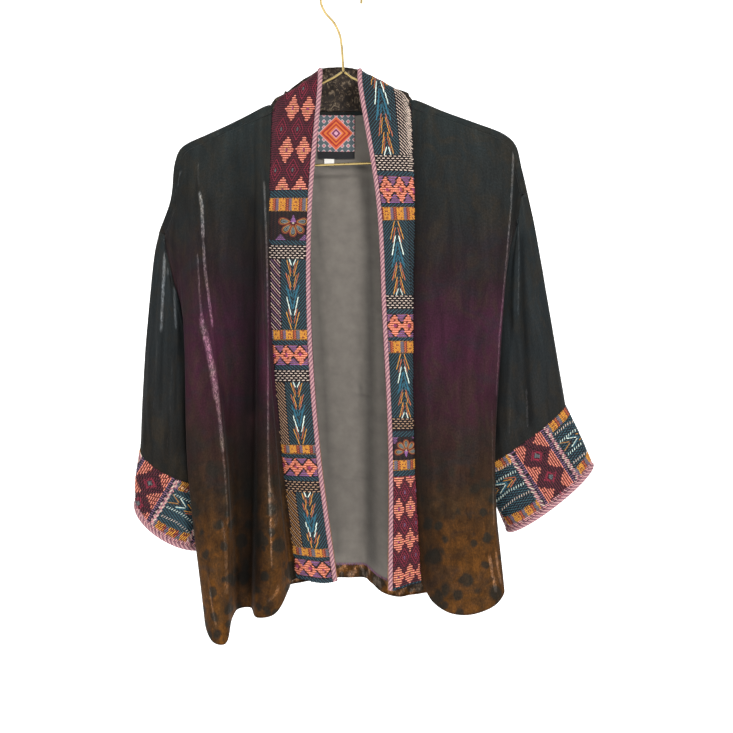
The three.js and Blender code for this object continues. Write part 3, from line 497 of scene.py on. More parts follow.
def shell(name, look, slot, replaced, grid, normals, wall, facing, closed=False, pile_tone_and_painted_light=None):
    """A closed wall of cloth: grid is its outer face, its rim is rounded; the painted highlight and shade go on one
    face or both.
    """
    na, nd = grid.shape[:2]
    outer, flat_normals = grid.reshape(-1, 3), normals.reshape(-1, 3)
    wall = np.broadcast_to(np.asarray(wall, float), (na, nd)).reshape(-1, 1)
    cloth = np.stack(measured(grid), -1).reshape(-1, 2)
    index = np.arange(na * nd).reshape(na, nd)
    if closed:
        index = np.concatenate([index, index[:1]])
    faces = [quads(index), quads(index)[:, [0, 3, 2, 1]] + na * nd]
    across, down = (np.gradient(grid, axis=k) for k in (0, 1))
    rims = [(index[:, 0][::-1], -down), (index[:, -1], down)]
    if not closed:
        rims += [(index[0, :], -across), (index[-1, ::-1], across)]
    vertices, coords = [outer, outer - flat_normals * wall], [cloth, cloth]
    start = 2 * na * nd
    for rim, outward in rims:
        away = unit(outward).reshape(-1, 3)[rim]
        vertices.append(outer[rim] - flat_normals[rim] * wall[rim] / 2 + away * wall[rim] * 0.3)
        coords.append(cloth[rim])
        ids = np.arange(start, start + len(rim))
        start += len(rim)
        for near, far in ((rim, ids), (ids, rim + na * nd)):
            faces.append(np.stack([near[:-1], near[1:], far[1:], far[:-1]], -1)[:, ::-1])
    faces = np.concatenate(faces)[:, ::facing]
    # Painted highlight and painted shade, as a colour layer on the cloth
    colours = None
    if pile_tone_and_painted_light is not None:
        flat, inside_flat = (n.reshape(-1, 3) for n in (pile_tone_and_painted_light if isinstance(pile_tone_and_painted_light, tuple) else (pile_tone_and_painted_light, pile_tone_and_painted_light * 0)))
        colours = np.concatenate([flat, inside_flat, *(flat[rim] for rim, _ in rims)])
    piece(name, look, slot, replaced, np.concatenate(vertices), faces.tolist(), colours, np.concatenate(coords),
          "Nap")


def sample(grid, i, j):
    """Grid values at fractional places."""
    i, j = (np.clip(k, 0, count - 1 - 1e-6) for k, count in zip((i, j), grid.shape))
    i0, j0 = i.astype(int), j.astype(int)
    fi, fj = (i - i0)[..., None], (j - j0)[..., None]
    low, high = (grid[i0, j0 + k] * (1 - fi) + grid[i0 + 1, j0 + k] * fi for k in (0, 1))
    return low * (1 - fj) + high * fj


def across_cord(line, closed):
    """Two directions across a cord at each of its points."""
    run = unit((np.roll(line, -1, 0) - np.roll(line, 1, 0)) if closed else np.gradient(line, axis=0))
    e1 = unit(np.cross(run, np.broadcast_to([0.0, 1.0, 0.05], run.shape)))
    return e1, np.cross(run, e1)


def tube(line, radius, sides, closed=False):
    """Vertices and faces of a round cord along a line."""
    e1, e2 = across_cord(line, closed)
    turn = np.linspace(0, 2 * math.pi, sides, endpoint=False)[None, :, None]
    vertices = (line[:, None] + (e1[:, None] * np.cos(turn) + e2[:, None] * np.sin(turn)) * radius).reshape(-1, 3)
    index = np.arange(len(line) * sides).reshape(-1, sides)
    if closed:
        index = np.concatenate([index, index[:1]])
    index = np.concatenate([index, index[:, :1]], 1)
    faces = quads(index).tolist()
    if not closed:
        faces += [index[0, :-1].tolist(), index[-1, :-1][::-1].tolist()]
    return vertices, faces


# ---- Embroidery ----
def srgb(r, g, b):
    return tuple(c / 12.92 if c <= 0.04045 else ((c + 0.055) / 1.055) ** 2.4 for c in (r / 255, g / 255, b / 255))


THREADS = {
    "burgundy": (88, 24, 40), "wine": (42, 14, 22), "red": (146, 36, 60), "salmon": (230, 140, 116),
    "peach": (226, 158, 112), "rust": (118, 46, 38), "rose": (158, 64, 110), "teal": (40, 76, 86),
    "sea": (30, 92, 112), "navy": (22, 32, 42), "ink": (15, 16, 19), "gold": (200, 136, 50),
    "orange": (176, 92, 54), "mauve": (118, 84, 116), "lavender": (140, 92, 146), "cream": (208, 188, 172),
    "pink": (204, 140, 144), "white": (214, 228, 216), "slate": (94, 102, 104), "brown": (50, 32, 26),
    "ochre": (176, 124, 62), "plum": (124, 82, 96), "dusty": (192, 148, 148), "tan": (176, 142, 112),
}
THREADS = {name: srgb(*colour) for name, colour in THREADS.items()}


class Stitches:
    """Small raised stitches, joined into one mesh."""

    def __init__(self):
        self.parts = []

    def lay(self, place, run, normal, length, width, height, colour):
        place, run, normal = (np.atleast_2d(np.asarray(a, float)) for a in (place, run, normal))
        size = [np.broadcast_to(np.asarray(a, float), (len(place),)) for a in (length, width, height)]
        names = [colour] * len(place) if isinstance(colour, str) else colour
        self.parts.append((place, run, normal, *size, np.array([THREADS[n] for n in names])))

    def sew(self, name, slot="embroidery"):
        place, run, normal, length, width, height, tint = (np.concatenate(p) for p in zip(*self.parts))
        run = unit(run - normal * np.sum(run * normal, -1, keepdims=True))
        side = np.cross(normal, run)
        plan = [(-0.5, 0, 0), (0.5, 0, 0), (-0.3, 0.5, 0), (0.3, 0.5, 0), (-0.3, -0.5, 0),
                (0.3, -0.5, 0), (-0.3, 0, 1), (0.3, 0, 1)]
        corners = [
            place + run * (length * a)[:, None] + side * (width * b)[:, None]
            + normal * (height * c - 0.25)[:, None]
            for a, b, c in plan
        ]
        tris = np.array([[0, 6, 2], [0, 4, 6], [1, 3, 7], [1, 7, 5]])
        rects = np.array([[2, 6, 7, 3], [4, 5, 7, 6]])
        base = np.arange(len(place))[:, None, None] * 8
        shade = rng.uniform(0.82, 1.16, (len(place), 1))
        faces = (tris[None] + base).reshape(-1, 3).tolist() + (rects[None] + base).reshape(-1, 4).tolist()
        piece(name, THREAD, slot, None, np.stack(corners, 1).reshape(-1, 3), faces,
              np.repeat(tint * shade, 8, axis=0))


# Motifs down each band, by the photograph's pixel row where each starts.
BAND_END = 640
BAND_ROWS = {
    "right": [
        (-40, "lattice"), (190, "teal"), (198, "blocks"), (211, "flower"), (240, "teal"), (245, "bricks"),
        (259, "vees"), (330, "blocks"), (340, "teal"), (345, "diamonds"), (365, "teal"), (370, "bricks"),
        (382, "vees"), (445, "blocks"), (454, "teal"), (458, "diamonds"), (476, "teal"), (481, "bricks"),
        (492, "vees"), (548, "blocks"), (556, "teal"), (560, "diamonds"), (577, "teal"),
    ],
    "left": [
        (-40, "bricks"), (60, "vees"), (155, "bricks"), (171, "teal"), (176, "diamonds"), (203, "teal"),
        (207, "blocks"), (220, "vees"), (295, "bricks"), (309, "teal"), (314, "diamonds"), (337, "teal"),
        (341, "blocks"), (353, "vees"), (418, "bricks"), (431, "teal"), (437, "flower"), (460, "blocks"),
        (470, "teal"), (476, "lattice"), (583, "teal"),
    ],
}
# centre across in mm, centre row, half width in mm, half height in rows
LATTICE = {
    "right": {"columns": (11, 34), "rows": (108.5, 149.5, 190), "size": (10.4, 14.2)},
    "left": {"columns": (7, 23, 39), "rows": (476, 508, 540, 574), "size": (8.2, 11.5)},
}
POINTS_DOWN = {"right": 1, "left": -1}
CENTRE, STRIP = 17.5, 32.5  # mm from the free edge to the middle of the arrows, and to the striped strip
ROW = 1.45  # mm between two rows of stitches
FILL_PITCH, FILL_LENGTH = 2.6, 3.3


def stripe(value, period, share=0.5):
    return (value / period) % 1 < share


class Face:
    """A face that stitches are laid on, by two places on it; down is the mm in one of the second."""

    down = 1

    def line(self, start, end, pitch, thick, height, colour, overlap=1.25):
        """A run of stitches from one place to another."""
        (a0, b0), (a1, b1) = start, end
        angle = math.atan2((b1 - b0) * self.down, a1 - a0)
        length = math.hypot((b1 - b0) * self.down, a1 - a0)
        count = max(int(round(length / pitch)), 1)
        t = (np.arange(count) + 0.5) / count
        self.lay(a0 + (a1 - a0) * t, b0 + (b1 - b0) * t, math.degrees(angle), length / count * overlap,
                 thick, height, colour)

    def outline(self, ring, *stitch):
        for start, end in zip(ring, ring[1:] + ring[:1]):
            self.line(start, end, *stitch)


class Band(Face):
    """A band's face, that stitches are laid on by mm from its free edge and photo row."""

    down = PIXEL

    def __init__(self, side, grid, normals, stretch):
        self.side, self.grid, self.normals, self.stretch = side, grid, normals, stretch
        self.stitches = Stitches()
        seen = pixels(grid)[1]
        fall, self.across = (
            np.cumsum(np.linalg.norm(np.diff(grid, axis=k, prepend=np.take(grid, [0], k)), axis=2), axis=k)
            for k in (1, 0)
        )
        rows = seen.copy()
        for i in range(len(grid)):
            fixed = int(np.argmax(seen[i] > seen[i].min() + 12))
            rows[i, :fixed] = seen[i, fixed] + (fall[i, :fixed] - fall[i, fixed]) / PIXEL
        middle = rows[len(grid) // 2]
        self.rows = middle + (rows - middle) * np.clip((240 - middle) / 90, 0, 1)
        self.across_run, self.down_run = np.gradient(grid, axis=0), np.gradient(grid, axis=1)
        self.slope = np.gradient(self.rows, axis=0) / np.maximum(np.gradient(self.rows, axis=1), 0.05)
        self.top, self.bottom = self.rows.min(), self.rows[:, -1].max()
        self.width = self.across[-1].max()

    def find(self, a, r):
        """Fractional grid places, or -1 off the cloth."""
        i, j = np.full(len(a), len(self.grid) / 2), np.zeros(len(a))
        columns, lines = np.arange(len(self.grid)), np.arange(self.grid.shape[1])
        for _ in range(3):
            for k in range(len(a)):
                low = min(int(max(i[k], 0)), len(columns) - 2)
                line = self.rows[low] + (self.rows[low + 1] - self.rows[low]) * (i[k] - low)
                j[k] = np.interp(r[k], line, lines, left=-1, right=-1)
                i[k] = np.interp(a[k], self.across[:, int(max(j[k], 0))], columns, right=-1)
                if i[k] < 0:
                    j[k] = -1
        return i, j

    def lay(self, a, r, angle, length, width, height, colour):
        """Stitches turned by an angle from level, where they fall on the cloth."""
        a, r, angle, length, width, height = (
            x.astype(float) for x in np.broadcast_arrays(np.atleast_1d(a), r, angle, length, width, height)
        )
        i, j = self.find(a * (1 + self.stretch * np.clip((165 - r) / 70, 0, 1)), r)
        keep = (j >= 0) & (a > 0.3)
        names = [colour] * len(a) if isinstance(colour, str) else colour
        names = [n for n, k in zip(names, keep) if k]
        if not names:
            return
        i, j, turn = i[keep], j[keep], np.radians(angle[keep])[:, None]
        normal = unit(sample(self.normals, i, j))
        across, down = sample(self.across_run, i, j), sample(self.down_run, i, j)
        level = unit(across - down * sample(self.slope[..., None], i, j))
        side = unit(np.cross(normal, level))
        side *= np.sign(np.sum(side * down, -1, keepdims=True))
        self.stitches.lay(sample(self.grid, i, j), level * np.cos(turn) + side * np.sin(turn), normal,
                          length[keep], width[keep], height[keep], names)

    def fill(self, low, high, chart, height=0.8):
        """Level rows of stitches, coloured by chart(a, mm down the section, row number)."""
        row = 0
        r = max(low, self.top) + 0.5 * ROW / PIXEL
        laid = []
        while r < min(high, self.bottom):
            for a in np.arange(1.0 + 1.3 * (row % 2), self.width, FILL_PITCH):
                laid.append((a, r, chart(a, (r - low) * PIXEL, row)))
            r += ROW / PIXEL
            row += 1
        if laid:
            a, r, names = zip(*laid)
            wide = [2.0 if name in ("salmon", "peach") else 1.5 for name in names]
            self.lay(a, r, 0.0, FILL_LENGTH, wide, height, names)


def lattice(cloth, low, high):
    """Rows of salmon lozenges, with outlined burgundy ones between them."""
    plan = LATTICE[cloth.side]
    hw, hh = plan["size"]
    columns, rows = plan["columns"], plan["rows"]

    def chart(a, q, row):
        r = low + q / PIXEL
        m = min(abs(a - ca) / hw + abs(r - cr) / hh for ca in columns for cr in rows)
        if m < 0.2:
            return "rose"
        if m < 1:
            return ("salmon" if m > 0.45 else "peach") if row % 2 else "rust"
        return "burgundy" if row % 2 else "wine"

    cloth.fill(low, high, chart)
    wide, tall = columns[1] - columns[0], rows[1] - rows[0]
    for a in columns[0] + wide * (np.arange(-1, len(columns)) + 0.5):
        for r in rows[0] + tall * (np.arange(-1, len(rows)) + 0.5):
            if not low - 2 < r < high - 6:
                continue
            for share, name in ((0.4, "red"), (0.78, "red"), (1.12, "burgundy")):
                half_a, half_r = hw * share, min(hh * share, high - r - 1)
                cloth.outline([(a, r - half_r), (a + half_a, r), (a, r + half_r), (a - half_a, r)],
                              3.0, 1.0, 1.15, name)
            for step in (-1, 0, 1):
                cloth.lay(a, r + step * 1.2, 0.0, 3.2 - abs(step), 1.5, 1.3,
                          "slate" if cloth.side == "right" else "mauve")


BLOCK = (("gold", 9.0), ("slate", 13.0), ("orange", 17.4))  # each colour up to this many mm


def block_thread(place, q):
    """Gold squares with a few rust dots, slate bars and rust bars."""
    place %= BLOCK[-1][1]
    name = next(n for n, end in BLOCK if place < end)
    if name == "gold":
        return "rust" if 0.6 < abs(place - 4.5) < 1.9 and stripe(q, 4.3, 0.45) else "gold"
    if name == "slate":
        return "mauve" if stripe(place, 2.6) else "slate"
    return "rust" if stripe(place - 13, 2.9) else "orange"


def blocks(cloth, low, high):
    for row, r in enumerate(np.arange(low + 0.8, high - 0.4, ROW / PIXEL)):
        a = np.arange(0.8 + 0.9 * (row % 2), cloth.width, 1.8)
        cloth.lay(a, r, 90.0, 2.2, 1.9, 0.9, [block_thread(x + low, (r - low) * PIXEL) for x in a])
    for edge in (low + 0.2, high - 0.2):
        for k, a in enumerate(np.arange(1.2, cloth.width, 2.4)):
            cloth.lay(a, edge, (-1) ** k * 25.0, 2.4, 0.8, 1.1, "ochre")


def bricks(cloth, low, high):
    cloth.fill(low, high, lambda a, q, row: "ink", 0.4)
    for k, r in enumerate(np.arange(low + 1.1, high - 0.4, 2.3)):
        for a in np.arange(1.6 + 3.0 * (k % 2), cloth.width, 6.0):
            cloth.lay(a + 0.6, r, 5.0 * (-1) ** k, 4.4, 1.5, 1.1, "tan" if low > 400 else "cream")


def diamonds(cloth, low, high):
    tall = (high - low) * PIXEL

    def chart(a, q, row):
        near = min(abs(a - 9.8 - 17.8 * k) for k in range(-1, 4))
        m = near / 9.2 + abs(q - tall / 2) / (tall / 2)
        if m < 0.24:
            return "rose"
        if 0.38 < m < 0.5:
            return "rust"
        if m < 1.02:
            return "salmon" if row % 2 else "orange"
        if m < 1.2:
            return "ink"
        return "lavender" if row % 2 else "plum"

    cloth.fill(low, high, chart)


def slants(cloth, low, high, a0, a1, lean, pitch, names, thick=1.5):
    """Slanted lines of stitches that fill a panel."""
    reach = abs(a1 - a0) * abs(lean) / PIXEL
    for k, r in enumerate(np.arange(low - reach, high + reach, pitch / PIXEL)):
        r1 = r + (a1 - a0) * lean / PIXEL
        ts = sorted(((low + 0.3 - r) / (r1 - r), (high - 0.3 - r) / (r1 - r)))
        t0, t1 = max(ts[0], 0), min(ts[1], 1)
        if t1 - t0 < 0.03:
            continue
        name = names[k % len(names)]
        wider, height = (1.35, 0.5) if name in ("ink", "navy") else (1, 0.9)
        start, end = ((a0 + (a1 - a0) * t, r + (r1 - r) * t) for t in (t0, t1))
        cloth.line(start, end, 3.2, thick * wider, height, name)


# rows from the wide end to the point, half widths in mm there, thread, thickness
ARROWS = [
    (26, 47, 8.4, 1.2, "sea", 2.2), (30, 50, 5.6, 0.6, "sea", 2.2), (22, 38, 5.0, 0.6, "sea", 2.0),
    (0, 6, 4.2, 1.2, "white", 1.6), (1, 17, 7.2, 2.0, "gold", 1.5), (3, 14, 4.2, 1.4, "orange", 1.2),
    (14, 31, 8.2, 2.2, "orange", 1.6), (16, 28, 5.0, 1.6, "gold", 1.3), (38, 56, 7.4, 2.2, "white", 1.7),
    (53, 70, 8.4, 2.2, "gold", 1.6), (50, 64, 5.6, 1.6, "orange", 1.4),
]
ARROW_ROWS = 71


def vees(cloth, low, high):
    """A panel of nested arrows on a ground of slanted lines, with a striped strip at the seam."""
    sign = POINTS_DOWN[cloth.side]
    slants(cloth, low, high, CENTRE, 0, 1.25 * sign, 2.3, ("teal", "ink"))
    slants(cloth, low, high, CENTRE, STRIP, -1.25 * sign, 2.3, ("teal", "ink"))
    if cloth.side == "left":
        strip = ("cream", "ink") if low < 100 else ("teal", "ink")
    elif low < 300:
        strip = ("dusty", "ink", "mauve", "ink", "cream", "ink")
    else:
        strip = ("ochre", "ink", "tan", "ink") if low > 450 else ("tan", "ink")
    slants(cloth, low, high, STRIP + 0.6, 60, -1.1 * sign, 2.2, strip, 1.15)
    row = (high - low) / ARROW_ROWS
    for start, end, wide, narrow, name, thick in ARROWS:
        for way in (-1, 1):
            r0, r1 = (low + k * row if sign > 0 else high - k * row for k in (start, end))
            cloth.line((CENTRE + way * wide, r0), (CENTRE + way * narrow, r1), 7.5, thick,
                       0.85 if name == "sea" else 1.5, name, 1.3)


# thread, nearest and furthest mm from the middle, half width, thickness
PETAL_LINES = (("rust", 3.5, 19, 5.0, 1.4), ("ochre", 5, 17.4, 3.6, 1.1), ("slate", 7, 15, 1.6, 2.6))


def flower(cloth, low, high):
    """Five petals that fan out from a small calyx, on a dark ground."""
    sign = POINTS_DOWN[cloth.side]
    tall = (high - low) * PIXEL
    size = min(tall / 37, 1)

    def chart(a, q, row):
        up = q if sign > 0 else tall - q
        if min(abs(a - 2), abs(a - 33)) / 7 + (tall - up) / 9 < 1:
            return "lavender" if row % 2 else "mauve"
        return "brown" if int(a / 2.6) % 2 else "ink"

    cloth.fill(low, high, chart, 0.5)
    r_mid = (low + high) / 2 - 3.5 * sign * size
    for turn in (-4, 46, 90, 134, 184):
        way = math.radians(turn)
        for name, near, reach, half, thick in PETAL_LINES:
            ring = []
            for t in np.linspace(0, 2 * math.pi, 15):
                swell = (1 - math.cos(t)) / 2
                far = (near + (reach - near) * swell) * size
                off = half * size * math.sin(t) * (0.45 + 0.85 * swell)
                ring.append((CENTRE + far * math.cos(way) - off * math.sin(way),
                             r_mid + sign * (far * math.sin(way) + off * math.cos(way)) / PIXEL))
            for start, end in zip(ring[:-1], ring[1:]):
                cloth.line(start, end, 9, thick, 1.3, name, 1.35)
    for k in range(5):
        cloth.lay(CENTRE, r_mid - sign * (0.5 + 1.5 * k) * size, 0.0, (9 - 1.8 * k) * size, 1.8, 1.4, "lavender")
    for angle in (0.0, 90.0):
        cloth.lay(CENTRE, r_mid + sign, angle, 4.0, 1.1, 1.9, "cream")


def twill(cloth, low, high):
    slants(cloth, low, high, 0, 60, -0.8, 2.0, ("teal", "navy"))


MOTIFS = {"lattice": lattice, "vees": vees, "flower": flower, "diamonds": diamonds, "blocks": blocks,
          "bricks": bricks, "teal": twill}


def embroider(cloth):
    rows = BAND_ROWS[cloth.side]
    for (low, kind), (high, _) in zip(rows, rows[1:] + [(BAND_END, None)]):
        if high >= cloth.top and low <= cloth.bottom:
            MOTIFS[kind](cloth, low, high)


# Stripe direction and phase on the cuffs, in pixels of the photograph.
CUFF_PLAN = {
    "right": {"start": (180, 473), "along": (-0.522, 0.853), "across": (0.853, 0.522), "phase": 12.6, "pitch": 23.5},
    "left": {"start": (543, 428), "along": (0.547, 0.837), "across": (0.837, -0.547), "phase": 7.7, "pitch": 24.8},
}
PANEL, TEAL_PANEL = 53, 58  # mm round the cuff
ARROW_RUN = 34.4  # mm along the stripes to the arrows' line
# place of the point along the line, length, half width, thread, thickness
CUFF_ARROWS = (
    (-17, 13, 7, "orange", 1.5), (-12, 11, 5, "gold", 1.5), (-4, 13, 7, "sea", 1.8), (-1, 12, 6.4, "white", 1.6),
    (7, 11, 5.5, "brown", 1.6), (10, 12, 6, "ochre", 1.5),
)
BRAID_STRIPE, DASH_STRIPE = 5.0, 5.5
RIM_EDGE, TOP_BLOCKS, RIM_BLOCKS = 5, 12, 16  # mm of cuff in other stitches beside its two ends
CUFF_ROW, CUFF_PITCH = 1.5, 2.5
CUFF_STEPS = 24


def snapped(value, pitch):
    """The middle of the line that a value falls on, and its number."""
    number = math.floor(value / pitch)
    return (number + 0.5) * pitch, number


def on_stripes(side, x, y):
    """Millimetres across and along the stripes at photo pixels."""
    plan = CUFF_PLAN[side]
    dx, dy = x - plan["start"][0], y - plan["start"][1]
    return (-(dx * plan["across"][0] + dy * plan["across"][1]) * PIXEL,
            (dx * plan["along"][0] + dy * plan["along"][1]) * PIXEL)


def cuff_thread(side, x, y, down, to_rim):
    """Thread at a photo pixel, its angle (0 across the stripes, 90 along them) and its shift onto a line."""
    p, run = on_stripes(side, x, y)
    phase, pitch = (CUFF_PLAN[side][key] * PIXEL for key in ("phase", "pitch"))
    if to_rim < RIM_EDGE:
        return ("dusty", "pink", "plum")[snapped(p + run * 0.5, 2.0)[1] % 3], 70, (0, 0)
    place = p % (PANEL + TEAL_PANEL)
    if place < PANEL:
        q = min(place, PANEL - place)
        if q < DASH_STRIPE:
            line, n = snapped(run, 1.45)
            return ("mauve" if n % 2 and q > 1.5 else "navy"), 0, (0, line - run)
        inward, n = snapped(q - DASH_STRIPE, 1.45)
        move = ((inward + DASH_STRIPE - q) * (1 if place < PANEL / 2 else -1), 0)
        shift = abs(((run - phase + pitch / 2) % pitch) - pitch / 2)
        if inward / 16.5 + shift / (pitch * 0.47) < 1:
            return ("salmon" if n % 2 == 0 else "rust"), 90, move
        m = abs(q - PANEL / 2) / 17 + abs(((run - phase) % pitch) - pitch / 2) / (pitch * 0.5)
        if m < 0.24:
            return "slate", 90, move
        if 0.40 < m < 0.54:
            return "red", 90, move
        return ("burgundy" if n % 2 else "wine"), 90, move
    q = min(place - PANEL, PANEL + TEAL_PANEL - place)
    if q < BRAID_STRIPE:
        return ("dusty", "cream", "pink", "plum")[snapped(run + q, 1.6)[1] % 4], 30, (0, 0)
    if down < TOP_BLOCKS or to_rim < RIM_BLOCKS:
        return block_thread(p, down if down < TOP_BLOCKS else to_rim - 4), 90, (0, 0)
    line, n = snapped(run + 0.45 * p, 1.7)
    return ("teal" if n % 2 else "navy"), 0, (0, line - run - 0.45 * p)


class CuffFace(Face):
    """The front or the back of a cuff, that stitches are laid on by the stripes' own directions."""

    def __init__(self, side, grid, normals, stitches):
        self.grid, self.normals, self.stitches = grid, normals, stitches
        self.p, self.run = on_stripes(side, *pixels(grid))
        self.steps = np.array([[np.gradient(a, axis=k) for k in (0, 1)] for a in (self.p, self.run)])

    def lay(self, p, run, *stitch):
        for spot in zip(*np.broadcast_arrays(np.atleast_1d(p), run)):
            self.lay_one(*spot, *stitch)

    def lay_one(self, p, run, angle, length, width, height, name):
        away = (self.p - p) ** 2 + (self.run - run) ** 2
        i, j = np.unravel_index(np.argmin(away), away.shape)
        matrix = self.steps[:, :, i, j]
        if away[i, j] > 9 or abs(np.linalg.det(matrix)) < 0.05:
            return
        shift = np.linalg.solve(matrix, [p - self.p[i, j], run - self.run[i, j]])
        if np.abs(shift).max() > 1.2:
            return
        turn = math.radians(angle)
        way = np.linalg.solve(matrix, [math.cos(turn), math.sin(turn)])
        spot = np.array([i + shift[0]]), np.array([j + shift[1]])
        rows, columns = (np.gradient(self.grid, axis=k)[i, j] for k in (0, 1))
        self.stitches.lay(sample(self.grid, *spot), (rows * way[0] + columns * way[1])[None],
                          unit(sample(self.normals, *spot)), length, width, height, name)


def cuff_figures(side, cloth):
    """Outlined lozenges, arrows and rows of slanted dashes, over the filled ground."""
    phase, pitch = (CUFF_PLAN[side][key] * PIXEL for key in ("phase", "pitch"))
    whole = PANEL + TEAL_PANEL
    for number in range(math.floor(cloth.p.min() / whole), math.ceil(cloth.p.max() / whole) + 1):
        middle = number * whole + PANEL / 2
        for run in np.arange(phase + pitch / 2 - 6 * pitch, cloth.run.max() + pitch, pitch):
            for share in (0.38, 0.55):
                half_p, half_run = 16 * share, pitch / 2 * share
                cloth.outline([(middle, run - half_run), (middle + half_p, run), (middle, run + half_run),
                               (middle - half_p, run)], 3.4, 1.0, 1.2, "red" if share < 0.5 else "burgundy")
        middle = number * whole + PANEL + TEAL_PANEL / 2
        for back, reach, half, name, thick in CUFF_ARROWS:
            for way in (-1, 1):
                cloth.line((middle + back, ARROW_RUN + way * 0.8), (middle + back + reach, ARROW_RUN + way * half),
                           5, thick, 0.9 if name == "sea" else 1.5, name)
        for run, name in ((13, "cream"), (25, "white"), (44, "white"), (57, "cream")):
            for across in np.arange(-21, 22, 3.4):
                cloth.lay(middle + across, run + abs(across) * 0.12, 64, 4.4, 1.1, 1.3, name)


def fill_cuff(side, grid, normals, stitches):
    """Rows of stitches round a cuff, each turned and coloured by the stripe that it falls on."""
    wrapped, wrapped_normals = (np.concatenate([a, a[:1]]) for a in (grid, normals))
    around = lengths_of(wrapped[:, CUFF_STEPS // 2])
    total = np.linalg.norm(np.diff(grid, axis=1), axis=2).sum(1)
    longest = total.max()
    plan = CUFF_PLAN[side]
    across, ahead = (np.array([plan[key][0], 0, -plan[key][1]]) for key in ("across", "along"))
    laid = []
    row, d = 0, 0.8
    while d < longest:
        c = 1.2 * (row % 2)
        while c < around[-1]:
            i = np.interp(c, around, np.arange(len(around)))
            place = np.array([i]), np.array([d / longest * CUFF_STEPS])
            spot, out = sample(wrapped, *place)[0], unit(sample(wrapped_normals, *place)[0])
            tall = np.interp(i, np.arange(len(total) + 1), np.append(total, total[0]))
            down = d / longest * tall
            name, angle, move = cuff_thread(side, *pixels(spot), down, tall - down)
            turn = math.radians(angle)
            run = across * math.cos(turn) + ahead * math.sin(turn)
            run = run - out * run.dot(out)
            if np.linalg.norm(run) < 0.35:
                run = np.cross(out, [0, 1.0, 0])
            laid.append((spot - across * move[0] + ahead * move[1], run, out, name))
            c += CUFF_PITCH
        d += CUFF_ROW
        row += 1
    spots, runs, outs, names = zip(*laid)
    height = np.array([0.5 if n in ("ink", "navy", "wine") else 0.85 for n in names])
    stitches.lay(spots, runs, outs, 3.3, 1.6, height, names)


# ---- Materials ----
class Look:
    """A procedural material; its methods add nodes and give their outputs."""

    def __init__(self, name, rough, metallic=0.0, **sockets):
        self.material = bpy.data.materials.new(name)
        self.material.use_nodes = True
        self.tree = self.material.node_tree
        self.shader = self.tree.nodes["Principled BSDF"]
        self.set(Roughness=rough, Metallic=metallic, **sockets)

    def set(self, **sockets):
        for key, value in sockets.items():
            self.feed(self.shader.inputs[key.replace("_", " ")], value)

    def feed(self, socket, value):
        if isinstance(value, bpy.types.NodeSocket):
            self.tree.links.new(value, socket)
        elif socket.type == "RGBA" and len(value) == 3:
            socket.default_value = (*value, 1)
        else:
            socket.default_value = value

    def node(self, kind, inputs=None, **settings):
        made = self.tree.nodes.new("ShaderNode" + kind)
        for key, value in settings.items():
            setattr(made, key, value)
        for key, value in (inputs or {}).items():
            self.feed(made.inputs[key], value)
        return made

    def out(self, output, kind, inputs=None, **settings):
        return self.node(kind, inputs, **settings).outputs[output]

    def place(self):
        return self.out("Object", "TexCoord")

    def cloth(self):
        return self.out("UV", "UVMap", uv_map="Cloth")

    def ramp(self, factor, stops, interpolation="LINEAR"):
        """Colours or greys by factor."""
        made = self.node("ValToRGB", {"Fac": factor})
        made.color_ramp.interpolation = interpolation
        elements = made.color_ramp.elements
        while len(elements) < len(stops):
            elements.new(0.5)
        for element, (place, colour) in zip(elements, stops):
            element.position = place
            element.color = (*(colour if isinstance(colour, tuple) else (colour,) * 3), 1)
        return made.outputs["Color"]

    def mix(self, factor, a, b, kind="MIX"):
        return self.out(2, "Mix", {0: factor, 6: a, 7: b}, data_type="RGBA", blend_type=kind)

    def tinted(self, a, b):
        return self.mix(1.0, a, b, "MULTIPLY")

    def maths(self, kind, a, b=0.0):
        return self.out(0, "Math", {0: a, 1: b}, operation=kind)

    def times(self, a, b):
        return self.maths("MULTIPLY", a, b)

    def grey(self, value):
        return self.out(0, "CombineColor", {0: value, 1: value, 2: value})

    def scaled(self, vector, scale):
        return self.out("Vector", "Mapping", {"Vector": vector, "Scale": scale})

    def noise(self, vector, scale, detail=3.0, rough=0.5, distortion=0.0):
        if isinstance(scale, tuple):
            vector, scale = self.scaled(vector, scale), 1.0
        return self.out("Fac", "TexNoise", {"Vector": vector, "Scale": scale, "Detail": detail, "Roughness": rough,
                                            "Distortion": distortion})

    def weave(self, cloth, scale, way):
        return self.out("Fac", "TexWave", {"Vector": cloth, "Scale": scale}, bands_direction=way)

    def painted(self, layer="Nap"):
        return self.out("Color", "VertexColor", layer_name=layer)

    def done(self, colour, height, strength, distance):
        """Sets the colour and the bump, and gives the material."""
        bump = self.out("Normal", "Bump", {"Height": height, "Strength": strength, "Distance": distance})
        self.set(Base_Color=colour, Normal=bump)
        return self.material


# Metres below the hook, and the dye there.
BODY_DYE = [
    (0.16, srgb(30, 36, 36)), (0.30, srgb(28, 29, 28)), (0.38, srgb(34, 21, 25)), (0.45, srgb(49, 20, 36)),
    (0.54, srgb(47, 20, 31)), (0.60, srgb(41, 24, 21)), (0.66, srgb(45, 30, 16)), (0.72, srgb(71, 43, 13)),
    (0.85, srgb(82, 50, 13)),
]
SLEEVE_DYE = [
    (0.16, srgb(31, 37, 38)), (0.40, srgb(30, 35, 37)), (0.54, srgb(29, 30, 30)), (0.68, srgb(26, 22, 16)),
]


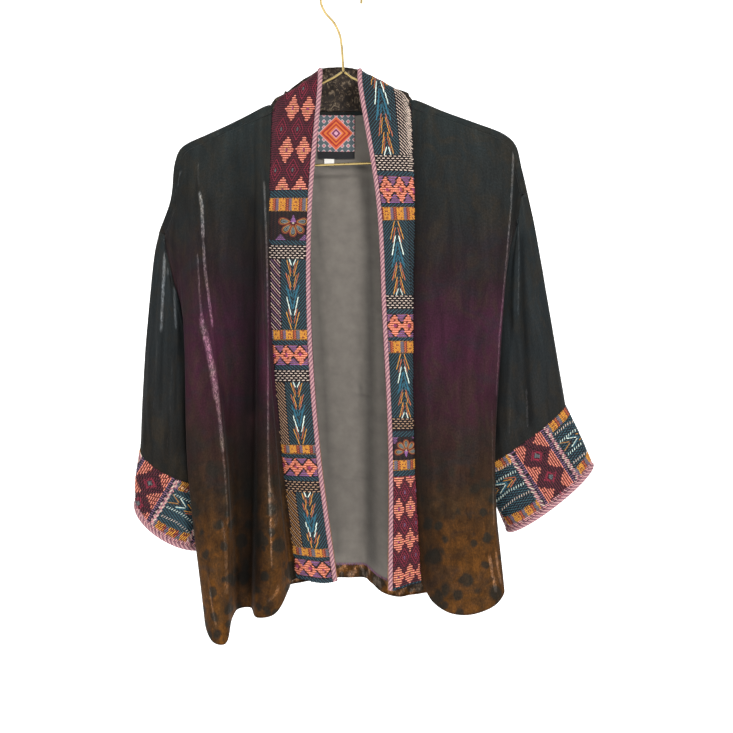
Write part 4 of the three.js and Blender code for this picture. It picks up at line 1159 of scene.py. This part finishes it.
def dye_spots(look, place):
    """Uneven dark ovals, of two sizes."""
    wander = look.out("Color", "TexNoise", {"Vector": place, "Scale": 55.0, "Detail": 4.0})
    push = look.out(0, "VectorMath", {0: wander, 1: (0.012,) * 3}, operation="MULTIPLY")
    wobble = look.out(0, "VectorMath", {0: look.scaled(place, (1, 0.2, 0.86)), 1: push}, operation="ADD")
    sizes = []
    for scale, near, far in ((40.0, 0.28, 0.4), (56.0, 0.26, 0.38)):
        cell = look.out("Distance", "TexVoronoi", {"Vector": wobble, "Scale": scale, "Randomness": 0.85})
        sizes.append(look.ramp(cell, [(near, 1.0), (far, 0.0)]))
    return look.mix(1.0, *sizes, "LIGHTEN")


def velvet(name, dye, spots):
    look = Look(name, 0.75, Sheen_Weight=0.06, Sheen_Roughness=0.35, Sheen_Tint=(0.78, 0.76, 0.74, 1),
                Specular_IOR_Level=0.1)
    place, cloth = look.place(), look.cloth()
    height = look.out("Z", "SeparateXYZ", {"Vector": place})
    wander = look.times(look.maths("SUBTRACT", look.noise(place, 18, 6, 0.62), 0.5), 0.11)
    level = look.maths("ADD", look.times(height, -1.0), wander)
    base = look.ramp(level, dye)
    # Patches where one dye ran into another: olive, then cool
    for texture, low, high, tint in (
        (((34, 34, 22), 6, 0.68, 1.2), 0.46, 0.64, srgb(46, 37, 24)),
        (((22, 40, 34), 5, 0.62, 0.8), 0.48, 0.66, srgb(22, 30, 33)),
    ):
        patch = look.ramp(look.noise(place, *texture), [(low, 0.0), (high, 1.0)])
        base = look.mix(look.times(patch, 0.4), base, tint)
    if spots:
        low = look.ramp(level, [(0.54, 0.0), (0.68, 1.0)])
        mottle = look.ramp(look.noise(place, (85, 85, 60), 6, 0.66, 0.6),
                           [(0.34, 0.55), (0.5, 0.95), (0.66, (1.4, 1.32, 1.2))])
        base = look.mix(low, base, look.tinted(base, mottle))
        base = look.mix(look.times(look.times(dye_spots(look, place), low), 0.85), base, srgb(30, 28, 22))
    # Random streaky tone of the pile, then painted highlights along the fold crests, broken into fine threads, and
    # painted shade in the folds
    pile_tone_and_painted_light = look.ramp(look.noise(cloth, (60, 10, 1), 7, 0.7, 0.7), [(0.34, 0.7), (0.5, 0.95), (0.64, 1.2), (0.78, 1.7)])
    grain = look.ramp(look.noise(cloth, (520, 380, 1), 3, 0.7), [(0.3, 0.7), (0.5, 1.0), (0.72, 1.5)])
    base = look.tinted(look.tinted(base, pile_tone_and_painted_light), grain)
    threads = look.ramp(look.noise(cloth, (620, 240, 1), 5, 0.75, 0.8), [(0.36, 0.05), (0.5, 0.6), (0.6, 1.9)])
    light, dark = look.node("SeparateColor", {0: look.painted()}).outputs[:2]
    # The painted highlights wander and break up in patches
    highlight_breakup = look.times(look.noise(cloth, (260, 90, 1), 6, 0.75, 0.6), 0.8)
    light = look.out(0, "Clamp", {0: look.maths("SUBTRACT", look.times(light, 1.7), highlight_breakup), 1: 0.0, 2: 1.2})
    # Painted shade darkens the deep folds
    base = look.tinted(base, look.grey(look.maths("SUBTRACT", 1.0, look.times(dark, 0.82))))
    # Painted highlight: a lighter copy of the dye, broken into threads, added along the fold crests
    highlight_colour = look.mix(1.0, look.tinted(base, (4.0,) * 3), (0.055, 0.052, 0.054), "ADD")
    base = look.mix(1.0, base, look.tinted(look.tinted(highlight_colour, threads), look.grey(light)), "ADD")
    pile = look.noise(look.scaled(cloth, (1, 0.6, 1)), 1400, 2)
    soft = look.noise(look.scaled(cloth, (1, 0.4, 1)), 90, 4)
    return look.done(base, look.maths("ADD", look.times(pile, 0.3), soft), 0.6, 0.0014)


def crushed_velvet():
    look = Look("crushed_velvet", 0.6, Sheen_Weight=0.12, Sheen_Roughness=0.3, Sheen_Tint=(0.8, 0.74, 0.68, 1),
                Specular_IOR_Level=0.2)
    crush_and_sheen_streaks = look.noise(look.place(), (130, 110, 110), 7, 0.7, 1.6)
    # Random crushed-pile tone; the ramp's narrow light band is painted sheen along the streaks
    base = look.ramp(crush_and_sheen_streaks, [(0.36, srgb(20, 16, 13)), (0.5, srgb(40, 31, 24)), (0.57, srgb(62, 50, 39)),
                               (0.62, srgb(128, 112, 92)), (0.68, srgb(56, 46, 38))])
    return look.done(base, crush_and_sheen_streaks, 0.6, 0.002)


def facing_velvet():
    look = Look("facing_velvet", 0.7, Sheen_Weight=0.08, Sheen_Roughness=0.3)
    place = look.place()
    tone = look.noise(place, 140, 5, 0.7)
    dye = look.ramp(look.times(look.out("Z", "SeparateXYZ", {"Vector": place}), -1.0), [
        (0.3, srgb(46, 32, 34)), (0.5, srgb(70, 36, 44)), (0.62, srgb(120, 74, 26)), (0.8, srgb(150, 96, 34))])
    shade = look.ramp(tone, [(0.36, 0.45), (0.5, 0.9), (0.64, 1.5)])
    return look.done(look.tinted(dye, shade), tone, 0.5, 0.0012)


def lining_cloth():
    look = Look("lining", 0.75, Sheen_Weight=0.15)
    cloth = look.cloth()
    base = look.ramp(look.noise(cloth, 60, 5, 0.6), [(0.3, srgb(99, 93, 86)), (0.7, srgb(113, 107, 99))])
    # Painted shade: the band's shadow, the shadow under the hanger's bar and darker fold and crease lines
    dark = look.out(1, "SeparateColor", {0: look.painted()})
    base = look.tinted(base, look.grey(look.maths("SUBTRACT", 1.0, look.times(dark, 0.8))))
    threads = look.times(look.weave(cloth, 620.0, "X"), look.weave(cloth, 620.0, "Y"))
    return look.done(base, look.maths("ADD", look.times(threads, 0.2), look.noise(cloth, 45, 3)), 0.35, 0.0012)


def thread_material():
    look = Look("thread", 0.6, Sheen_Weight=0.06, Sheen_Roughness=0.4, Specular_IOR_Level=0.3)
    place = look.place()
    shade = look.ramp(look.noise(place, 900, 2), [(0.3, 0.86), (0.7, 1.1)])
    return look.done(look.tinted(look.painted("Thread"), shade), look.noise(place, 2400, 2), 0.5, 0.0004)


def ground_cloth():
    look = Look("embroidery_ground", 0.9, Specular_IOR_Level=0.1)
    grain = look.noise(look.cloth(), 500, 3)
    return look.done(look.ramp(grain, [(0.3, srgb(18, 13, 16)), (0.7, srgb(34, 24, 27))]), grain, 0.5, 0.0006)


def brass():
    look = Look("brass_wire", 0.28, 1.0)
    place = look.place()
    tone = look.noise(place, 70, 4)
    look.set(Roughness=look.ramp(tone, [(0.3, 0.22), (0.7, 0.36)]))
    return look.done(look.ramp(tone, [(0.3, srgb(150, 128, 80)), (0.7, srgb(190, 168, 112))]),
                     look.noise(place, (800, 800, 800), 2), 0.12, 0.0002)


# Width and height of the label's large lozenge, in metres.
BIG = (0.048, 0.047)


def label_cloth():
    """Woven nested lozenges over a plain dark strip, a generic ground for a label."""
    look = Look("woven_label", 0.8, Sheen_Weight=0.05)
    cloth = look.cloth()
    parts = look.node("SeparateXYZ", {"Vector": cloth}).outputs

    def reach(size, shift, step):
        """0 at the middle of each cell, 1 on its lozenge's edge."""
        axes = []
        for axis, pitch, moved in zip("XY", size, shift):
            ping = look.maths("PINGPONG", look.maths("ADD", parts[axis], moved), pitch / 2)
            axes.append(look.maths("DIVIDE", look.maths("SNAP", ping, step) if step else ping, pitch / 2))
        return look.maths("ADD", *axes)

    teal, pale, middle, thread = srgb(84, 98, 104), srgb(214, 208, 204), (BIG[0] / 2, BIG[1] / 2), 0.0009
    ground = look.ramp(reach((0.008, 0.008), (0, 0), thread), [(0.0, srgb(206, 120, 132)), (0.3, pale), (0.6, teal)],
                       "CONSTANT")
    rings = look.ramp(reach(BIG, middle, thread), [
        (0.0, srgb(232, 178, 200)), (0.09, srgb(120, 34, 84)), (0.22, srgb(226, 150, 170)),
        (0.27, srgb(228, 132, 60)), (0.4, srgb(184, 44, 40)), (0.52, srgb(228, 122, 52)),
        (0.64, srgb(176, 40, 38)), (0.76, srgb(224, 104, 62)), (0.88, srgb(230, 190, 190)), (0.96, teal),
    ], "CONSTANT")
    base = look.mix(look.maths("LESS_THAN", reach(BIG, middle, None), 0.97), ground, rings)
    base = look.mix(look.maths("GREATER_THAN", parts["Y"], 0.0475), base, srgb(24, 24, 28))
    weave = look.weave(cloth, 480.0, "Y")
    return look.done(look.tinted(base, look.ramp(weave, [(0.2, 0.82), (0.8, 1.05)])), weave, 0.5, 0.0006)


def tab_cloth():
    look = Look("tab", 0.8, Sheen_Weight=0.1)
    weave = look.weave(look.cloth(), 700.0, "X")
    return look.done(look.ramp(weave, [(0.2, srgb(228, 224, 214)), (0.8, srgb(244, 242, 236))]), weave, 0.3, 0.0003)


BODY, SLEEVE = velvet("body_velvet", BODY_DYE, True), velvet("sleeve_velvet", SLEEVE_DYE, False)
THREAD, GROUND = thread_material(), ground_cloth()


# ---- Panels ----
def front_edge(side, params, rail=-1):
    """Points down one rail of a front, at its own parameters."""
    return along(np.array(front_rails[side][rail], float)[:, None], params)[:, 0]


def back_edge(side):
    last = FRONT_RAILS[side][-1]
    return back_rail(side, last[0], ARMHOLE_BACK[side], *last[2:])


front_rails = {
    side: [[*shoulder_points(side, rail), *rail[1:]] for rail in FRONT_RAILS[side]] for side in SIDES
}
back_rails = [back_edge("right")]
for start, share, free, *points in BACK_RAILS:
    back_rails.append(back_rail(start, share, *points, isinstance(free, tuple)))
back_rails.append(back_edge("left"))
back_down = steps([4, 4, 4, 4, 36, 44, 48, 52])
BACK_FINER = 6
back_grid = surface(back_rails, back_down, steps([1] * (len(back_rails) - 1), BACK_FINER))
CORNER, FRONT_AHEAD = 6, 3  # rail point at the armhole's foot, and how many more points the back has
below = back_down >= CORNER
for column, side in ((0, "right"), (-1, "left")):
    back_grid[column, below] = front_edge(side, back_down[below] - FRONT_AHEAD)
back_normals = normals_of(back_grid, 1)

for side, finer in (("right", 13), ("left", 15)):
    down = np.concatenate([[0.0, 0.13, 0.4, 0.7], steps([1, 36, 50, 54, 62])[1:]])
    grid = surface(front_rails[side], down, steps([1] * (len(front_rails[side]) - 1), finer))
    u, v = measured(grid)
    lift = waves(u, v, 0.55, 34, 260, 3 + FACING[side]) + creases(grid, side)
    grid = raised(grid, normals_of(grid, FACING[side]), lift * from_sides(grid) * np.clip(v / 14, 0, 1))
    normals = normals_of(grid, FACING[side])
    # The fronts carry painted highlights on the fold crests and painted shade in the folds
    shell(f"front_{side}_velvet", BODY, "velvet", f"front_{side}", grid, normals, VELVET_WALL, FACING[side],
          pile_tone_and_painted_light=painted_light_and_shade(grid, normals, side))

u, v = measured(back_grid)
back_shaped = raised(back_grid, back_normals, waves(u, v, 0.8, 44, 300, 11) * from_sides(back_grid)
                     * np.clip(v / 20, 0, 1))
to_hem = v[:, -1:] - v
hem_wall = VELVET_WALL + 1.8 / (1 + np.exp((to_hem - HEM_TURN) / 0.8))
# Painted highlight in broken patches on the inside of the turned hem
turned = np.clip((HEM_TURN + 2 - to_hem) / 3, 0, 1) * np.clip(0.35 + waves(u, v, 0.5, 16, 30, 17), 0.05, 1.2)
pile_tone_and_painted_light = np.stack([turned, turned * 0, turned * 0], -1)
shell("back_velvet", BODY, "velvet", "back", back_shaped, normals_of(back_shaped, 1), hem_wall, 1, pile_tone_and_painted_light=(pile_tone_and_painted_light * 0, pile_tone_and_painted_light))

# Lining inside the back, down to the turned hem.
rows = (back_down >= 4) & (to_hem[0] > HEM_TURN - 4)
columns = slice(9, len(back_grid) - 9, 2)
lining_grid = (back_shaped - back_normals * 2.6)[columns][:, rows]
lining_normals = back_normals[columns][:, rows]
# Painted shade on the lining's face
pile_tone_and_painted_light = painted_light_and_shade(lining_grid, -lining_normals, "lining")
shell("back_lining_cloth", lining_cloth(), "lining", "back_lining", lining_grid, lining_normals, 1.0, 1,
      pile_tone_and_painted_light=(pile_tone_and_painted_light, pile_tone_and_painted_light))

# Overlocking along the lining's lower edge.
OVERLOCK_PITCH = 1.9
seam = lining_grid[:, -1] - lining_normals[:, -1] * 1.2
lengths = lengths_of(seam)
place = np.arange(1, lengths[-1], OVERLOCK_PITCH)
overlock = Stitches()
overlock.lay(at_length(place, lengths, seam) + [0, 0, 1.0], np.tile([0.35, 0.0, -1.0], (len(place), 1)),
             -at_length(place, lengths, lining_normals[:, -1]), 4.6, 1.1, 0.9,
             (["mauve", "plum"] * len(place))[:len(place) - 1] + ["plum"])
overlock.sew("back_overlock_stitches", "lining")


# ---- Sleeves and cuffs ----
def ring(side, k):
    """Armhole point at a ring place, from the two edges that it joins."""
    def back_point(place):
        return along(np.array(back_edge(side), float)[:, None], [place])[0, 0]

    if k <= 1:
        return back_point(2 - k)
    if k < 2:
        return back_point(1.0) + (front_edge(side, [1.0])[0] - back_point(1.0)) * (k - 1)
    if k <= 8:
        return front_edge(side, [1 + (k - 2) / 3])[0]
    row = 18 - k
    if row > 9:
        a = back_point(4 + 5 / 3)
        return a + (front_edge(side, [3.0])[0] - a) * (row - 9)
    return back_point(row if row <= 4 else 4 + (row - 4) / 3)


RING = np.arange(0, 16, 1 / 12)
cuffs = {}
for side in SIDES:
    facing = -FACING[side]
    sections = [np.array([ring(side, k) for k in RING]), *(ring_point(s, RING) for s in SLEEVE_SECTIONS[side])]
    grid = along(np.array(sections), steps([8, 16, 26, 30])).transpose(1, 0, 2)
    normals = normals_of(grid, facing, True)
    u, v = measured(grid)
    front_face = np.clip(-normals[..., 1] * 3, 0, 1)
    lift = waves(u, v, 0.7, 26, 200, 21 + facing) + creases(grid, f"sleeve_{side}") * front_face
    grid = raised(grid, normals, lift * np.clip(v / 16, 0, 1) * np.clip((v[:, -1:] - v) / 10, 0, 1))
    normals = normals_of(grid, facing, True)
    # The sleeves carry painted highlights on the gathers and painted shade beside the body
    shell(f"sleeve_{side}_velvet", SLEEVE, "velvet", f"sleeve_{side}", grid, normals, VELVET_WALL, facing, True,
          painted_light_and_shade(grid, normals, f"sleeve_{side}"))

    sections = [ring_point(s, RING) for s in (SLEEVE_SECTIONS[side][-1], *CUFF_SECTIONS[side])]
    grid = along(np.array(sections), steps([CUFF_STEPS // 2] * 2)).transpose(1, 0, 2)
    normals = normals_of(grid, facing, True)
    cuffs[side] = (grid, normals)
    shell(f"cuff_{side}_cloth", GROUND, "embroidery", f"cuff_{side}", grid, normals, BAND_WALL, facing, True)
    stitches = Stitches()
    fill_cuff(side, grid, normals, stitches)
    half = len(RING) // 2
    for face in (slice(4, half - 3), slice(half + 4, len(RING) - 3)):
        cuff_figures(side, CuffFace(side, grid[face], normals[face], stitches))
    stitches.sew(f"cuff_{side}_stitches")

# ---- Bands ----
bands = {}
for side in SIDES:
    top, collar = shoulder_points(side, FRONT_RAILS[side][0])
    rails = [
        [*(over_wire(rail[0], rail[1], angle) for angle in BAND_ROLL_ANGLES), *rail[2:]]
        for rail in BAND_RAILS[side]
    ]
    rails.append([top, top + (collar - top) * 0.5, collar, *FRONT_RAILS[side][0][1:]])
    down = steps([6, 6, 30, 40, 44, 50])
    grid = surface(rails, down, steps([1, 2, 1, 1], 5))
    grid[-1] = front_edge(side, np.where(down < 2, down / 2, down - 1), 0)
    normals = normals_of(grid, FACING[side])
    bands[side] = (grid, normals)
    shell(f"band_{side}_cloth", GROUND, "embroidery", f"band_{side}", grid, normals, BAND_WALL, FACING[side])
    cloth = Band(side, grid, normals, 0.4 if side == "left" else 0.0)
    embroider(cloth)
    cloth.stitches.sew(f"band_{side}_stitches")

# Neck band between the two embroidered bands.
rails = []
for index, rail in enumerate(BACK_RAILS):
    if rail[2] is None:
        continue
    low = back_grid[(index + 1) * BACK_FINER, 0]
    if rail[2] == "joint":
        over = [over_wire(row[0], row[1], BAND_ROLL_ANGLES[0]) for row in BAND_RAILS[rail[0]]]
        rails.append([*over, low])
        continue
    free = np.array(rail[2], float)
    bulge = back_normals[(index + 1) * BACK_FINER, 0] * 2
    rails.append([free, *(free + (low - free) * t + bulge for t in (0.25, 0.7, 0.92)), low])
grid = surface(rails, steps([1, 2, 1, 1], 5), steps([1] * (len(rails) - 1), 9))
for column, side in ((0, "right"), (-1, "left")):
    grid[column] = bands[side][0][:, 0]
u, v = measured(grid)
lift = waves(u, v, 0.5, 16, 22, 31) * np.clip(v / 6, 0, 1) * np.clip((v[:, -1:] - v) / 6, 0, 1)
grid = raised(grid, normals_of(grid, 1), lift)
shell("neck_band_velvet", crushed_velvet(), "neck_velvet", "neck_band", grid, normals_of(grid, 1), 2.8, 1)


# ---- Braids ----
STRANDS = ("dusty", "plum") * 3
STRAND_RADIUS, STRAND_OFFSET = 1.15, 2.1
TWIST, CORD_STEP = 17, 1.3  # mm in a full turn, and between two rings


def braid(name, replaced, line, closed):
    """Twisted cord of several strands round a line."""
    if closed:
        line = np.concatenate([line, line[:1]])
    lengths = lengths_of(line)
    turns = round(lengths[-1] / TWIST)
    place = np.linspace(0, lengths[-1], int(lengths[-1] / CORD_STEP) + 1)
    if closed:
        place = place[:-1]
    middle = at_length(place, lengths, line)
    e1, e2 = across_cord(middle, closed)
    vertices, faces, colours = [], [], []
    for k, thread in enumerate(STRANDS):
        turn = 2 * math.pi * (turns * place / lengths[-1] + k / len(STRANDS))[:, None]
        line = middle + (e1 * np.cos(turn) + e2 * np.sin(turn)) * STRAND_OFFSET
        strand, loops = tube(line, STRAND_RADIUS, 5, closed)
        faces += [[corner + len(strand) * k for corner in face] for face in loops]
        vertices.append(strand)
        colours.append(np.broadcast_to(THREADS[thread], strand.shape))
    piece(name, THREAD, "braid", replaced, np.concatenate(vertices), faces, np.concatenate(colours))


def away_from(edge, behind, normals, distance, depth):
    run = unit(np.gradient(edge, axis=0))
    away = edge - behind
    for way in (run, normals):
        away = away - way * np.sum(away * way, -1, keepdims=True)
    return edge + unit(away) * distance - normals * depth


FACING_EDGE = facing_velvet()
for side in SIDES:
    grid, normals = bands[side]
    braid(f"braid_{side}_cord", f"braid_{side}", away_from(grid[0], grid[1], normals[0], 2.8, 1.2)[1:], False)
    line = away_from(grid[0], grid[1], normals[0], 5.0, 3.2)[60:]
    piece(f"facing_edge_{side}", FACING_EDGE, "velvet", None, *tube(line, 1.7, 6))
    grid, normals = cuffs[side]
    braid(f"cuff_braid_{side}_cord", f"cuff_braid_{side}",
          away_from(grid[:, -1], grid[:, -2], normals[:, -1], 2.6, 1.2), True)

# ---- Label ----
inner = (back_shaped - back_normals * 3.9)[40:-40, 8:90].reshape(-1, 3)


def on_back(x, z):
    """Depth of the lining's face at x and z."""
    dx, dz = inner[:, 0] - x, inner[:, 2] - z
    near = np.argsort(dx**2 + dz**2)[:4]
    weight = 1 / (np.hypot(dx, dz)[near] + 0.3)
    return (inner[near, 1] * weight).sum() / weight.sum()


for name, look, slot, replaced, centre, top, width, height, out in (
    ("neck_label_cloth", label_cloth(), "label", "neck_label", -7, -171, 48, 57, 0.8),
    ("size_tab_cloth", tab_cloth(), "tab", "size_tab", -16, -228.3, 13, 9, 0.9),
):
    xs, zs = np.linspace(centre - width / 2, centre + width / 2, 33), np.linspace(top, top - height, 33)
    grid = np.array([[(x, on_back(x, z) - out, z) for z in zs] for x in xs])
    for _ in range(3):
        grid[1:-1, :, 1] = (grid[:-2, :, 1] + grid[1:-1, :, 1] + grid[2:, :, 1]) / 3
        grid[:, 1:-1, 1] = (grid[:, :-2, 1] + grid[:, 1:-1, 1] + grid[:, 2:, 1]) / 3
    shell(name, look, slot, replaced, grid, np.broadcast_to([0.0, 1.0, 0.0], grid.shape), 0.8, 1)

BRASS = brass()
for name in ("hanger_frame", "hanger_hook"):
    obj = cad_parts[name]
    obj.data.materials.clear()
    obj.data.materials.append(BRASS)


# ---- Stage, light and camera ----
def stage():
    look = Look("pale_floor", 0.9, Emission_Color=(1, 1, 1, 1), Emission_Strength=0.75)
    look.set(Base_Color=look.ramp(look.noise(look.place(), 3, 2), [(0.0, 0.93), (1.0, 0.96)]))
    profile = [(-4.0, -1.1), (3.2, -1.1), (3.5, -1.07), (3.8, -0.95), (4.0, -0.7), (4.1, -0.4), (4.1, 5.0)]
    vertices = [(x, y, z) for x in (-6, 6) for y, z in profile]
    n = len(profile)
    mesh = bpy.data.meshes.new("backdrop")
    mesh.from_pydata(vertices, [], [(k, k + n, k + n + 1, k + 1) for k in range(n - 1)])
    mesh.materials.append(look.material)
    obj = bpy.data.objects.new("backdrop", mesh)
    scene.collection.objects.link(obj)


def area(name, place, turn, size, power):
    light = bpy.data.lights.new(name, "AREA")
    light.shape = "RECTANGLE"
    light.size, light.size_y = size
    light.energy = power
    obj = bpy.data.objects.new(name, light)
    obj.location = place
    obj.rotation_euler = [math.radians(a) for a in turn]
    scene.collection.objects.link(obj)


stage()
area("key", (0.9, -2.1, 0.85), (57, 0, 23), (0.6, 0.5), 46)
area("fill", (-1.7, -2.0, -0.1), (80, 0, -40), (1.4, 1.6), 14)
area("top", (0.0, -0.2, 1.2), (8, 0, 0), (1.6, 0.8), 8)
world = bpy.data.worlds.new("studio")
world.use_nodes = True
world.node_tree.nodes["Background"].inputs["Color"].default_value = (1, 1, 1, 1)
world.node_tree.nodes["Background"].inputs["Strength"].default_value = 0.5
scene.world = world
scene.view_settings.view_transform = "Standard"

camera = bpy.data.cameras.new("camera")
camera.sensor_width = SENSOR
camera.lens = SENSOR / (PHOTO_SIZE * PIXEL / -VIEW[1])
eye = bpy.data.objects.new("camera", camera)
eye.location = [c / 1000 for c in VIEW]
eye.rotation_euler = (math.radians(90), 0, 0)
scene.collection.objects.link(eye)
scene.camera = eye

bpy.context.view_layer.update()
